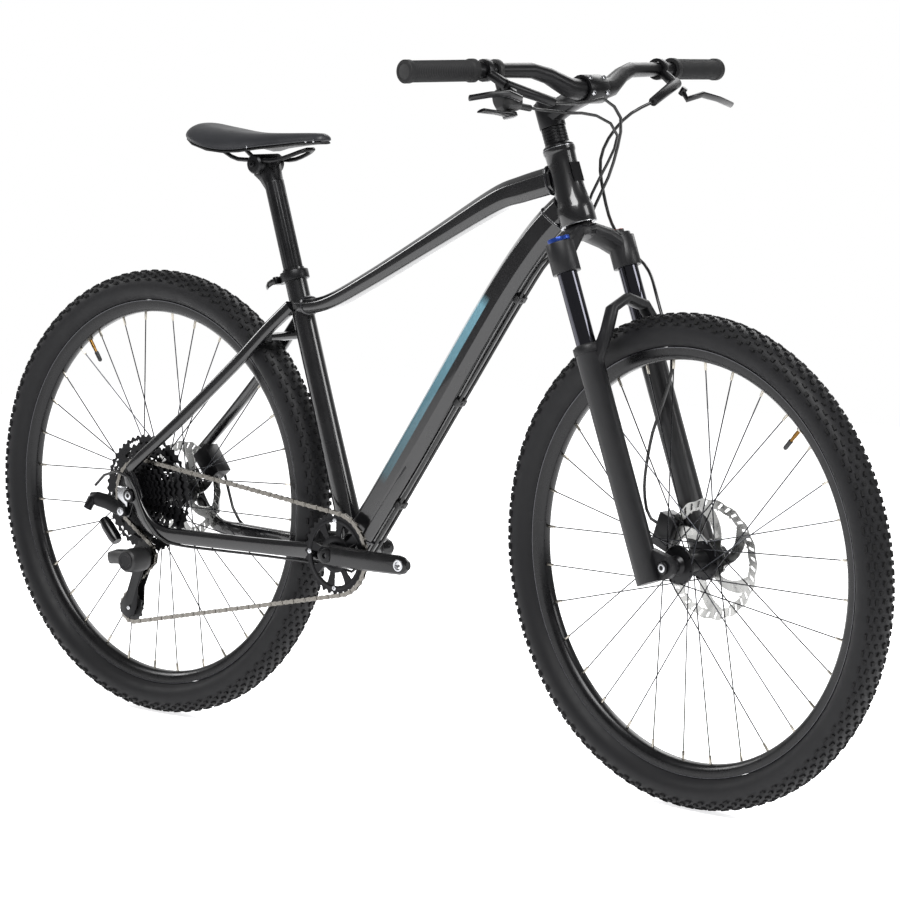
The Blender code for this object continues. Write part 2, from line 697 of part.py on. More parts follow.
def make_chainring():
    outlines = [circle(CHAINRING_PITCH - 0.0045, 40), circle(BOSS_RADIUS + 0.0006, 18)]
    for index in range(8):
        outlines.append(window(0.0290, 0.0480, math.radians(45 * index + 12), math.radians(14), 2))
    ring = plate("chainring", outlines, 0.0030, upright(0.0, CHAIN_Y, 0.0))
    place(ring, "chainring", COG_BLACK, CRANK_AXIS)


def belt(circles, spacing):
    """Evenly spaced points (x, z) round a belt over (centre, radius, sense) wheels, taken in order."""
    tangents = []
    for (one, r_one, s_one), (two, r_two, s_two) in zip(circles, circles[1:] + circles[:1]):
        reach = two - one
        share = (s_one * r_one - s_two * r_two) / reach.length
        aside = Vector((reach.y, -reach.x)) / reach.length
        normal = reach / reach.length * share + aside * math.sqrt(1 - share * share)
        tangents.append((one + normal * s_one * r_one, two + normal * s_two * r_two))
    corners = []
    for index, (centre, radius, sense) in enumerate(circles):
        arrive = tangents[index - 1][1] - centre
        leave = tangents[index][0] - centre
        incoming = tangents[index - 1][1] - tangents[index - 1][0]
        turn = 1 if arrive.x * incoming.y - arrive.y * incoming.x > 0 else -1
        start = math.atan2(arrive.y, arrive.x)
        sweep = (turn * (math.atan2(leave.y, leave.x) - start)) % (2 * math.pi)
        steps = max(2, round(sweep / math.radians(11 if radius > 0.04 else 20)))
        for step in range(steps + 1):
            angle = start + turn * sweep * step / steps
            corners.append(centre + Vector((math.cos(angle), math.sin(angle))) * radius)
        straight = tangents[index][1] - tangents[index][0]
        pieces = max(1, round(straight.length / spacing))
        for step in range(1, pieces):
            corners.append(tangents[index][0] + straight * step / pieces)
    return corners


def make_chain():
    flat = [
        (Vector((BB.x, BB.z)), CHAINRING_PITCH, -1),
        (Vector((TENSION_PULLEY.x, TENSION_PULLEY.z)), PULLEY_PITCH, -1),
        (Vector((GUIDE_PULLEY.x, GUIDE_PULLEY.z)), PULLEY_PITCH, 1),
        (Vector((0.0, HUB_Z)), COG_PITCH, -1),
    ]
    corners = belt(flat, 0.06)
    rings = []
    for index, corner in enumerate(corners):
        along = (corners[(index + 1) % len(corners)] - corners[index - 1]).normalized()
        out = Vector((along.y, -along.x)) * CHAIN_HALF_HEIGHT
        ring = []
        for side, reach in ((-1, -1), (1, -1), (1, 1), (-1, 1)):
            ring.append(Vector((
                corner.x + reach * out.x, CHAIN_Y + side * CHAIN_HALF_WIDTH, corner.y + reach * out.y,
            )))
        rings.append(ring)
    place(skin("chain", rings, endless=True), "chain", CHAIN_STEEL, BIKE)


COG_TEETH = (48, 42, 36, 32, 28, 24, 21, 18, 15, 12)
CHAIN_COG = 4
COG_PITCH_Y = 0.0036
COG_HALF_THICKNESS = 0.0008
CASSETTE_BORE = 0.0110


def cog_tip(teeth):
    return 0.00202 * teeth + 0.003


def make_cassette():
    """Ten cogs turned as one stack, the largest nearest the spokes."""
    profile = []
    for index, teeth in enumerate(COG_TEETH):
        y = CHAIN_Y + (CHAIN_COG - index) * COG_PITCH_Y
        tip = COG_PITCH - 0.0047 if index == CHAIN_COG else cog_tip(teeth)
        floor = cog_tip(teeth) - 0.020
        profile += [(tip, y + COG_HALF_THICKNESS), (tip, y - COG_HALF_THICKNESS)]
        if index <= CHAIN_COG:
            profile += [(floor, y - COG_HALF_THICKNESS), (floor, y - COG_PITCH_Y + COG_HALF_THICKNESS)]
    profile = [(CASSETTE_BORE, profile[0][1])] + profile + [(CASSETTE_BORE, profile[-1][1])]
    place(turned("cassette", profile, 20, "Y"), "cassette", COG_BLACK, REAR_AXLE)


# ---------------------------------------------------------------- wheels
RIM_HALF_PROFILE = [(0.2965, 0.0060), (0.3030, 0.0120), (0.3155, 0.0135)]
TYRE_HALF_PROFILE = [
    (0.3159, 0.0125), (0.3240, 0.0235), (0.3420, 0.0270), (0.3600, 0.0210),
]
HOOP_INNER = 0.2932
WHEEL_STEPS = 40
HOOP_OUTER = 0.2950
HOOP_MIDDLE = 0.2928


def mirrored_profile(half, crown=()):
    """A closed profile from its +Y half, taken from the inside out, with optional middle points."""
    return half + list(crown) + [(radius, -y) for radius, y in reversed(half)]


def spoke_set(name, first_angle, valve_angle, left_flange, right_flange):
    """Crossed spokes from the two flanges to a thin hoop inside the rim, which joins them."""
    hoop = turned(
        "hoop", [(HOOP_OUTER, -0.004), (HOOP_OUTER, 0.004), (HOOP_INNER, 0.004), (HOOP_INNER, -0.004)],
        SPOKES,
        "Y",
    )
    hoop.transform(Matrix.Rotation(-math.radians(first_angle) - math.pi / SPOKES, 4, "Y"))
    spokes = []
    for index in range(SPOKES):
        side = -1 if index % 2 == 0 else 1
        flange = right_flange if side < 0 else left_flange
        outer = math.radians(first_angle) + 2 * math.pi * index / SPOKES
        inner = outer + math.radians(67.5) * (1 if (index // 2) % 2 == 0 else -1)
        root_y = flange + (0.0042 if (index // 2) % 2 == 0 else -0.0042)
        root = Vector((FLANGE_RADIUS * math.cos(inner), root_y, FLANGE_RADIUS * math.sin(inner)))
        tip = Vector((HOOP_MIDDLE * math.cos(outer), 0.0022 * side, HOOP_MIDDLE * math.sin(outer)))
        spokes.append(rod("spoke", root, tip, SPOKE_RADIUS, 4))
    valve = math.radians(valve_angle)
    notch = rod(
        "notch", (0.285 * math.cos(valve), 0, 0.285 * math.sin(valve)),
        (0.300 * math.cos(valve), 0, 0.300 * math.sin(valve)), 0.0060, 12,
    )
    return union(name, cut("hoop", hoop, notch), *spokes)


def rim_with_valve(name, valve_angle):
    rim = turned(name, mirrored_profile(RIM_HALF_PROFILE), WHEEL_STEPS, "Y")
    valve = math.radians(valve_angle)
    inner = Vector((0.252 * math.cos(valve), 0.0, 0.252 * math.sin(valve)))
    return union(name, rim, rod("valve", inner, inner * (0.300 / 0.252), 0.0030, 10))


def brake_disc(name, radius, y, windows):
    outlines = [circle(radius, 40), circle(DISC_BORE, 20)]
    for index in range(windows):
        middle = 2 * math.pi * index / windows
        outlines.append(window(0.0300, radius - 0.0175, middle, math.pi / windows * 0.74, 2))
    return plate(name, outlines, 0.0018, upright(0.0, y, 0.0))


DISC_BORE = 0.0225
DISC_SEAT = 0.0220
HUB_BORE = 0.0066
AXLE_RADIUS = 0.0060
REAR_DISC_Y = 0.0545
FRONT_DISC_Y = 0.0380


def make_rear_wheel():
    tyre = turned("rear_tyre", mirrored_profile(TYRE_HALF_PROFILE, [(TYRE_RADIUS, 0.0)]), WHEEL_STEPS, "Y")
    place(tyre, "rear_tyre", TYRE_RUBBER, REAR_AXLE)
    place(rim_with_valve("rear_rim", 125.8), "rear_rim", RIM_BLACK, REAR_AXLE)
    place(spoke_set("rear_spokes", 7.65, 125.8, 0.034, -0.021), "rear_spokes", SPOKE_STEEL, REAR_AXLE)
    profile = [
        (HUB_BORE, -0.0672), (0.0095, -0.0672), (0.0105, -0.0312), (0.0170, -0.0305), (0.0185, -0.0235),
        (0.0290, -0.0228), (0.0290, -0.0192), (0.0190, -0.0185), (0.0165, 0.0050), (0.0200, 0.0310),
        (0.0290, 0.0322), (0.0290, 0.0358), (0.0220, 0.0368), (DISC_SEAT, 0.0562), (0.0110, 0.0568),
        (0.0095, 0.0672), (HUB_BORE, 0.0672),
    ]
    place(turned("rear_hub", profile, 16, "Y"), "rear_hub", SATIN_BLACK, REAR_AXLE)
    place(brake_disc("rear_rotor", 0.080, REAR_DISC_Y, 6), "rear_rotor", STEEL, REAR_AXLE)
    axle = turned("rear_axle", axle_profile(0.0758, 0.0800, 0.0110), 14, "Y", closed=False)
    place(axle, "rear_axle", SATIN_BLACK, REAR_AXLE)


def axle_profile(inside, outside, head):
    return [
        (0.0, -outside), (head, -outside), (head, -inside), (AXLE_RADIUS, -inside), (AXLE_RADIUS, inside),
        (head, inside), (head, outside), (0.0, outside),
    ]


def make_front_wheel():
    tyre = turned("front_tyre", mirrored_profile(TYRE_HALF_PROFILE, [(TYRE_RADIUS, 0.0)]), WHEEL_STEPS, "Y")
    place(tyre, "front_tyre", TYRE_RUBBER, FRONT_AXLE)
    place(rim_with_valve("front_rim", 46.5), "front_rim", RIM_BLACK, FRONT_AXLE)
    place(spoke_set("front_spokes", 7.15, 46.5, 0.022, -0.031), "front_spokes", SPOKE_STEEL, FRONT_AXLE)
    profile = [
        (HUB_BORE, -0.0505), (0.0095, -0.0505), (0.0110, -0.0400), (0.0150, -0.0350), (0.0290, -0.0328),
        (0.0290, -0.0292), (0.0160, -0.0270), (0.0140, -0.0050), (0.0160, 0.0180), (0.0290, 0.0202),
        (0.0290, 0.0238), (0.0220, 0.0250), (DISC_SEAT, 0.0396), (0.0110, 0.0404), (0.0095, 0.0505),
        (HUB_BORE, 0.0505),
    ]
    place(turned("front_hub", profile, 16, "Y"), "front_hub", SATIN_BLACK, FRONT_AXLE)
    place(brake_disc("front_rotor", 0.090, FRONT_DISC_Y, 6), "front_rotor", STEEL, FRONT_AXLE)
    place(turned("front_axle", axle_profile(0.0640, 0.0690, 0.0100), 14, "Y", closed=False), "front_axle",
          SATIN_BLACK, FRONT_AXLE)


def caliper(name, middle, tilt, disc_radius, disc_y, extra):
    """A brake body over the edge of a disc that turns about the frame's origin, with a slot for it."""
    body = box(name, (0.052, 0.030, 0.032), middle, Matrix.Rotation(-tilt, 4, "Y"))
    slot = turned(
        "slot", [
            (0.0, -0.0018), (disc_radius + 0.0015, -0.0018), (disc_radius + 0.0015, 0.0018), (0.0, 0.0018)
        ],
        48, "Y", closed=False,
    )
    slot.transform(Matrix.Translation((0.0, disc_y, 0.0)))
    return cut(name, union(name, body, *extra), slot)


def make_rear_caliper():
    leg = rod("leg", (0.0640, 0.0625, 0.040), (0.0600, 0.0650, -0.0350), 0.0055, 12)
    banjo = rod("banjo", (0.063, 0.060, 0.049), (0.063, 0.0700, 0.049), 0.0050, 12)
    body = caliper(
        "rear_caliper", (0.062, 0.0520, 0.049), math.radians(-52), 0.080, REAR_DISC_Y, [leg, banjo]
    )
    place(body, "rear_caliper", SATIN_BLACK, REAR_AXLE)


# ---------------------------------------------------------------- derailleur
HANGER_BOLT = Vector((-0.010, -0.0800, 0.340))
LINK_TOP = Vector((-0.057, -0.0850, 0.330))
LINK_LOW = Vector((-0.005, -0.0850, 0.275))
DRUM = Vector((0.0165, -0.0850, 0.262))


def make_derailleur():
    """Knuckle on the hanger, swinging link, clutch housing and the cage with its two pulleys."""
    knuckle_axis = empty("derailleur_axis", HANGER_BOLT, BIKE)
    bolt = rod("bolt", (0, -0.0060, 0), (0, 0.0058, 0), 0.0095, 16)
    arm = loft(
        "arm",
        [
            ((0.004, -0.0010, 0.0), 0.0050, 0.0080, 2.6), ((-0.012, -0.0015, 0.004), 0.0055, 0.0115, 2.8),
            ((-0.034, -0.0030, 0.012), 0.0060, 0.0125, 3.0), ((-0.056, -0.0040, 0.015), 0.0060, 0.0120, 3.0),
            ((-0.071, -0.0040, 0.016), 0.0050, 0.0090, 2.6),
        ],
        12,
    )
    tail = loft(
        "tail",
        [((-0.066, -0.0060, 0.016), 0.0070, 0.0070, 2.6), ((-0.072, -0.0120, -0.002), 0.0060, 0.0070, 2.6)],
        12,
    )
    place(union("derailleur_body", bolt, arm, tail), "derailleur_body", COG_BLACK, knuckle_axis)
    link_axis = empty("link_axis", LINK_TOP, BIKE)
    reach = LINK_LOW - LINK_TOP
    link = loft(
        "derailleur_link",
        [
            (reach * 0.12, 0.0075, 0.0070, 3.0), (reach * 0.30, 0.0100, 0.0085, 3.0),
            (reach * 0.62, 0.0100, 0.0085, 3.0), (reach * 0.74, 0.0080, 0.0070, 3.0),
        ],
        12,
    )
    place(link, "derailleur_link", COG_BLACK, link_axis)
    clutch_axis = empty("clutch_axis", LINK_LOW, BIKE)
    drum = DRUM - LINK_LOW
    profile = [
        (0.0, -0.0155), (0.0150, -0.0155), (0.0185, -0.0120), (0.0200, -0.0040), (0.0200, 0.0160),
        (0.0185, 0.0245), (0.0, 0.0245),
    ]
    housing = turned("housing", profile, 18, "Y", closed=False)
    housing.transform(Matrix.Translation(drum))
    nose = loft(
        "nose",
        [
            ((-0.030, 0.0, -0.014), 0.0060, 0.0100, 2.6), ((-0.012, 0.0, -0.010), 0.0090, 0.0120, 2.8),
            ((0.010, 0.0, -0.010), 0.0110, 0.0140, 2.8),
        ],
        12,
    )
    place(union("derailleur_clutch", housing, nose), "derailleur_clutch", COG_BLACK, clutch_axis)


CAGE_OUTER_Y = -0.0555
CAGE_INNER_Y = -0.0395


def make_cage():
    """Two long plates joined by the pins that the pulleys turn on, hung from the clutch housing."""
    axis = empty("cage_axis", (DRUM.x, 0.0, DRUM.z), BIKE)
    guide = GUIDE_PULLEY - Vector((DRUM.x, 0.0, DRUM.z))
    tension = TENSION_PULLEY - Vector((DRUM.x, 0.0, DRUM.z))
    outline = [
        (0.0130, 0.006), (0.0040, 0.0140), (-0.014, 0.0150), (-0.0240, 0.0050), (-0.0270, -0.020),
        (-0.0420, -0.060), (-0.0580, -0.080), (-0.0560, -0.094), (-0.0400, -0.103), (-0.0250, -0.096),
        (-0.0190, -0.080), (-0.0180, -0.050), (-0.0040, -0.020), (0.0110, -0.008),
    ]
    outer = plate("outer", [outline], 0.0022, upright(0.0, CAGE_OUTER_Y, 0.0))
    inner = plate("inner", [outline], 0.0020, upright(0.0, CAGE_INNER_Y, 0.0))
    boss = rod("boss", (0.0, -0.0600, 0.0), (0.0, CAGE_OUTER_Y, 0.0), 0.0100, 16)
    pins = [
        rod("pin", (spot.x, CAGE_OUTER_Y, spot.z), (spot.x, CAGE_INNER_Y, spot.z), 0.0030, 12)
        for spot in (guide, tension)
    ]
    place(union("derailleur_cage", outer, inner, boss, *pins), "derailleur_cage", COG_BLACK, axis)
    profile = [
        (0.0033, -0.0010), (PULLEY_PITCH - 0.0047, -0.0010), (PULLEY_PITCH - 0.0047, 0.0010),
        (0.0033, 0.0010)
    ]
    for name, spot in (("guide_pulley", guide), ("tension_pulley", tension)):
        centre = empty(name + "_axis", spot, axis)
        place(turned(name, profile, 20, "Y"), name, MATTE_BLACK, centre)


# ---------------------------------------------------------------- fork, in the steering frame
CROWN_LOW = -0.074
STEERER_RADIUS = 0.0143
SOCKET_RADIUS = 0.0215
LEG_RADIUS = 0.0195


def make_fork_crown():
    """The crown with its steerer, the two sockets and the air cap on the left leg."""
    pieces = [rod("neck", (0, 0, -0.020), (0, 0, -0.0004), 0.0200, 18)]
    pieces.append(rod("steerer", (0, 0, -0.004), (0, 0, 0.1885), STEERER_RADIUS, 16))
    for side in (-1, 1):
        arm = [
            ((0.0, 0.0, -0.0120), 0.0215, 0.0105, 3.0), ((0.0, side * 0.018, -0.0125), 0.0215, 0.0110, 3.0),
            ((0.008, side * 0.040, -0.026), 0.0200, 0.0130, 3.0),
            ((LEG_X, side * LEG_Y, -0.046), 0.0180, 0.0140, 3.0),
        ]
        pieces.append(loft("arm", arm, 12, across=(1.0, 0.0, 0.0)))
        pieces.append(
            rod("socket", (LEG_X, side * LEG_Y, CROWN_LOW), (LEG_X, side * LEG_Y, -0.0283), SOCKET_RADIUS, 18)
        )
    pieces.append(rod("cap", (LEG_X, LEG_Y, -0.029), (LEG_X, LEG_Y, -0.0225), 0.0170, 18))
    pieces.append(rod("knob", (LEG_X, LEG_Y, -0.024), (LEG_X, LEG_Y, -0.0165), 0.0090, 16))
    bores = [
        rod(
            "bore", (LEG_X, side * LEG_Y, CROWN_LOW - 0.01), (LEG_X, side * LEG_Y, -0.0357),
            STANCHION_RADIUS + GAP, 18
        )
        for side in (-1, 1)
    ]
    seat = rod("seat", (LEG_X, -LEG_Y, -0.0280), (LEG_X, -LEG_Y, 0.0), 0.0178, 18)
    place(cut("fork_crown", union("fork_crown", *pieces), *bores, seat), "fork_crown", FORK_BLACK, STEERING)
    for side, word in ((-1, "right"), (1, "left")):
        tube = rod(
            "stanchion", (LEG_X, side * LEG_Y, -0.290), (LEG_X, side * LEG_Y, -0.036), STANCHION_RADIUS, 18
        )
        place(tube, "stanchion_" + word, STANCHION_CHROME, STEERING)
    dial_axis = empty("lockout_axis", (LEG_X, -LEG_Y, -0.0277), STEERING)
    knob = rod("knob", (0, 0, 0), (0, 0, 0.0065), 0.0165, 18)
    tab = box("tab", (0.012, 0.007, 0.0055), (0.018, -0.004, 0.0030))
    place(union("lockout_dial", knob, tab), "lockout_dial", DIAL_BLUE, dial_axis)


def make_fork_lowers():
    """Both lower legs, the arch in front that joins them and the axle lugs."""
    pieces = []
    for side in (-1, 1):
        seal = (LEG_X, side * LEG_Y, LOWER_TOP)
        foot = (LEG_X, side * LEG_Y, -0.545)
        pieces.append(rod("leg", foot, (LEG_X, side * LEG_Y, LOWER_TOP - 0.002), LEG_RADIUS, 18))
        pieces.append(rod("seal", (LEG_X, side * LEG_Y, LOWER_TOP - 0.010), seal, 0.0215, 18))
        outline = [
            (0.000, -0.490), (0.030, -0.498), (0.056, -0.516), (0.0625, -0.530), (0.0575, -0.543),
            (0.046, -0.5475), (0.006, -0.543),
        ]
        pieces.append(plate("lug", [outline], 0.0120, upright(0.0, side * 0.0575, 0.0)))
    arch = [
        ((0.0180, -0.065, -0.235), 0.0095, 0.0070, 3.0), ((0.0260, -0.062, -0.206), 0.0105, 0.0075, 3.0),
        ((0.0480, -0.053, -0.175), 0.0110, 0.0075, 3.0), ((0.0525, -0.034, -0.143), 0.0110, 0.0075, 3.0),
        ((0.0540, 0.0, -0.130), 0.0110, 0.0075, 3.0),
    ]
    arch += [((x, -y, z), wide, tall, power) for (x, y, z), wide, tall, power in reversed(arch[:-1])]
    pieces.append(loft("arch", arch, 12, across=(1.0, 0.0, 0.0)))
    bores = []
    for side in (-1, 1):
        bores.append(
            rod(
                "bore", (LEG_X, side * LEG_Y, -0.400), (LEG_X, side * LEG_Y, -0.150),
                STANCHION_RADIUS + 0.0005, 18
            )
        )
        bores.append(
            rod(
                "hole", (AXLE_X, side * 0.045, -FORK_LENGTH), (AXLE_X, side * 0.070, -FORK_LENGTH), 0.0064,
                16
            )
        )
    lowers = cut("fork_lowers", union("fork_lowers", *pieces), *bores)
    place(lowers, "fork_lowers", FORK_BLACK, STEERING)


FRONT_CALIPER = Vector((-0.066, 0.0385, 0.060))


def make_front_caliper():
    """The front brake body, shaped round the back of the left leg that it bolts to."""
    leg = rod(
        "leg", (LEG_X - AXLE_X, LEG_Y, -0.10), (LEG_X - AXLE_X, LEG_Y, 0.20), LEG_RADIUS + GAP, 18
    )
    body = caliper("front_caliper", FRONT_CALIPER, math.radians(47.7), 0.090, FRONT_DISC_Y, [])
    body = cut("front_caliper", body, leg)
    place(body, "front_caliper", SATIN_BLACK, STEERING, (AXLE_X, 0.0, -FORK_LENGTH))


# ---------------------------------------------------------------- cockpit, straight with the frame
STEM_LOW = 0.1510
STEM_HIGH = 0.1910


def make_stem():
    spacers = [
        (0.0147, 0.1184), (0.0235, 0.1184), (0.0235, 0.1215), (0.0180, 0.1260), (0.0180, 0.1506),
        (0.0147, 0.1506),
    ]
    place(turned("headset_spacers", spacers, 20), "headset_spacers", SATIN_BLACK, HEAD)
    clamp = rod("clamp", (0, 0, STEM_LOW), (0, 0, STEM_HIGH), 0.0200, 18)
    reach = loft(
        "reach",
        [
            ((0.004, 0, 0.1710), 0.0180, 0.0170, 3.0), ((0.040, 0, 0.1765), 0.0165, 0.0155, 3.0),
            ((BAR_X - 0.010, 0, BAR_Z - 0.001), 0.0190, 0.0175, 3.0),
        ],
        12,
    )
    face = rod("face", (BAR_X, -0.0220, BAR_Z), (BAR_X, 0.0220, BAR_Z), 0.0215, 18)
    bore = rod("bore", (0, 0, STEM_LOW - 0.01), (0, 0, 0.1890), STEERER_RADIUS + GAP, 18)
    bar_bore = rod("bar_bore", (BAR_X, -0.03, BAR_Z), (BAR_X, 0.03, BAR_Z), BAR_CLAMP_RADIUS + GAP, 18)
    place(cut("stem", union("stem", clamp, reach, face), bore, bar_bore), "stem", SATIN_BLACK, HEAD)


BAR_HALF = [
    ((BAR_X, 0.0300, BAR_Z), BAR_CLAMP_RADIUS), ((0.0850, 0.0480, 0.1850), 0.0150),
    ((0.0830, 0.0850, 0.2040), 0.0125), ((0.0795, 0.1150, 0.2135), 0.0115),
    ((0.0720, 0.1900, 0.2170), BAR_END_RADIUS),
]
BAR_TIP = Vector((BAR_X - BAR_SWEEP, BAR_HALF_WIDTH, BAR_Z + BAR_RISE))
GRIP_INNER = BAR_HALF_WIDTH - GRIP_LENGTH


def make_handlebar():
    ends = BAR_HALF + [(tuple(on_bar(BAR_HALF_WIDTH - 0.004)), BAR_END_RADIUS)]
    stations = [((x, -y, z), radius, radius, 2.0) for (x, y, z), radius in reversed(ends)]
    stations += [(point, radius, radius, 2.0) for point, radius in ends]
    place(loft("handlebar", stations, 12, across=(1.0, 0.0, 0.0)), "handlebar", MATTE_BLACK, HEAD)


def on_bar(y):
    """The point on the bar's own line at a distance across, beyond the bends."""
    start = Vector(BAR_HALF[-1][0])
    share = (abs(y) - start.y) / (BAR_TIP.y - start.y)
    point = start.lerp(BAR_TIP, share)
    return Vector((point.x, math.copysign(point.y, y), point.z))


def make_grips():
    length = GRIP_LENGTH
    profile = [
        (0.0, length), (0.0155, length), (0.0170, length - 0.002), (0.0170, length - 0.010),
        (0.0155, length - 0.012),
        (0.0155, 0.0110), (0.0172, 0.0100), (0.0172, 0.0), (BAR_END_RADIUS + 0.0004, 0.0),
        (BAR_END_RADIUS + 0.0004, length - 0.0015), (0.0, length - 0.0015),
    ]
    for side, word in ((-1, "right"), (1, "left")):
        inner, outer = on_bar(side * GRIP_INNER), on_bar(side * BAR_HALF_WIDTH)
        grip = turned("grip", profile, 16, closed=False)
        turn = (outer - inner).to_track_quat("Z", "Y").to_matrix().to_4x4()
        grip.transform(Matrix.Translation(inner) @ turn)
        place(grip, "grip_" + word, RUBBER, HEAD)


def bar_ring(y, radius, length):
    """A clamp ring round the bar, still solid: the bar's bore is cut from the whole piece."""
    along = (on_bar(y + 0.01) - on_bar(y - 0.01)).normalized() * length / 2
    return rod("ring", on_bar(y) - along, on_bar(y) + along, radius, 18)


def bar_bore(y):
    along = (on_bar(y + 0.01) - on_bar(y - 0.01)).normalized() * 0.05
    return rod("bore", on_bar(y) - along, on_bar(y) + along, BAR_END_RADIUS + GAP, 18)


# For each side: clamp y, lever pivot, root, kink and tip of the blade, end of the fluid barrel.
LEVERS = {
    "right": (-0.207, (0.1055, -0.2050, 0.1715), (0.1141, -0.2000, 0.1600), (0.1180, -0.2280, 0.1660),
              (0.0975, -0.2900, 0.1671), (0.1091, -0.1220, 0.1553)),
    "left": (0.194, (0.1055, 0.1940, 0.1700), (0.1141, 0.1870, 0.1545), (0.1213, 0.2180, 0.1593),
             (0.1013, 0.3110, 0.1487), (0.1084, 0.1110, 0.1535)),
}


def make_brake_levers():
    """Each lever body clamps the bar and holds a fluid barrel; the blade swings on a pin in front of it."""
    for word, (y, pivot, root, kink, tip, barrel_end) in LEVERS.items():
        pivot = Vector(pivot)
        side = math.copysign(1.0, y)
        mount = Vector((0.0980, y - 0.006 * side, 0.1850))
        strut = loft(
            "strut", [((0.0790, y, 0.2080), 0.0080, 0.0070, 2.6), (tuple(mount), 0.0090, 0.0075, 2.6)], 12
        )
        barrel = rod("barrel", mount + Vector((0.0, 0.006 * side, 0.001)), barrel_end, 0.0085, 16, 0.0070)
        body = union("brake_lever_" + word, bar_ring(y, 0.0165, 0.0100), strut, barrel)
        place(cut("brake_lever_" + word, body, bar_bore(y)), "brake_lever_" + word, SATIN_BLACK, HEAD)
        axis = empty("blade_axis_" + word, pivot, HEAD)
        pin = Vector((0.84, 0.0, 0.54)).normalized() * 0.0060
        eye = rod("eye", -pin, pin, 0.0050, 14)
        points = [Vector(point) - pivot for point in (root, kink, tip)]
        middle = points[1].lerp(points[2], 0.5) + Vector((0.002, 0.0, 0.001))
        blade = loft(
            "blade",
            [
                ((0.0, 0.0, 0.0), 0.0040, 0.0035, 2.6), (tuple(points[0]), 0.0050, 0.0035, 2.6),
                (tuple(points[1]), 0.0055, 0.0030, 2.6), (tuple(middle), 0.0055, 0.0028, 2.6),
                (tuple(points[2]), 0.0050, 0.0032, 2.4),
            ],
            12, across=(0.84, 0.0, 0.54),
        )
        place(union("brake_blade_" + word, eye, blade), "brake_blade_" + word, SATIN_BLACK, axis)


SHIFTER_Y = -0.186
SHIFTER_PIVOT = Vector((0.0740, -0.1830, 0.1480))


def make_shifter():
    """The pod under the bar with its cable barrel, and the thumb paddle that turns below it."""
    pod = loft(
        "pod",
        [
            ((0.0720, -0.1980, 0.1720), 0.0100, 0.0110, 2.8),
            ((0.0720, -0.1900, 0.1720), 0.0145, 0.0180, 3.0),
            ((0.0720, -0.1700, 0.1710), 0.0150, 0.0180, 3.0),
            ((0.0720, -0.1560, 0.1660), 0.0100, 0.0110, 2.6),
        ],
        16, across=(1.0, 0.0, 0.0),
    )
    strut = box("strut", (0.010, 0.0070, 0.030), (0.0725, SHIFTER_Y, 0.1960))
    adjuster = rod("adjuster", (0.0720, -0.1600, 0.1630), (0.0715, -0.1310, 0.1590), 0.0050, 12)
    body = union("shifter_body", pod, strut, bar_ring(SHIFTER_Y, 0.0160, 0.0080), adjuster)
    place(cut("shifter_body", body, bar_bore(SHIFTER_Y)), "shifter_body", SATIN_BLACK, HEAD)
    axis = empty("paddle_axis", SHIFTER_PIVOT, HEAD)
    disc = rod("disc", (0, 0, -0.0030), (0, 0, 0.0020), 0.0110, 16)
    paddle = loft(
        "paddle",
        [
            ((0.004, -0.004, -0.0005), 0.0090, 0.0022, 2.6), ((0.010, -0.040, 0.001), 0.0070, 0.0020, 2.6),
            ((0.012, -0.075, 0.004), 0.0080, 0.0022, 2.4),
        ],
        12, across=(1.0, 0.0, 0.0),
    )
    place(union("shifter_paddle", disc, paddle), "shifter_paddle", SATIN_BLACK, axis)


# ---------------------------------------------------------------- hoses and housing
def in_fork(x, y, z):
    """A point of the turned fork's own frame, in the bike's frame."""
    turn = Matrix.Rotation(LEAN, 3, "Y") @ Matrix.Rotation(STEER_AT_REST, 3, "Z")
    return HEAD_BASE + turn @ Vector((x, y, z))


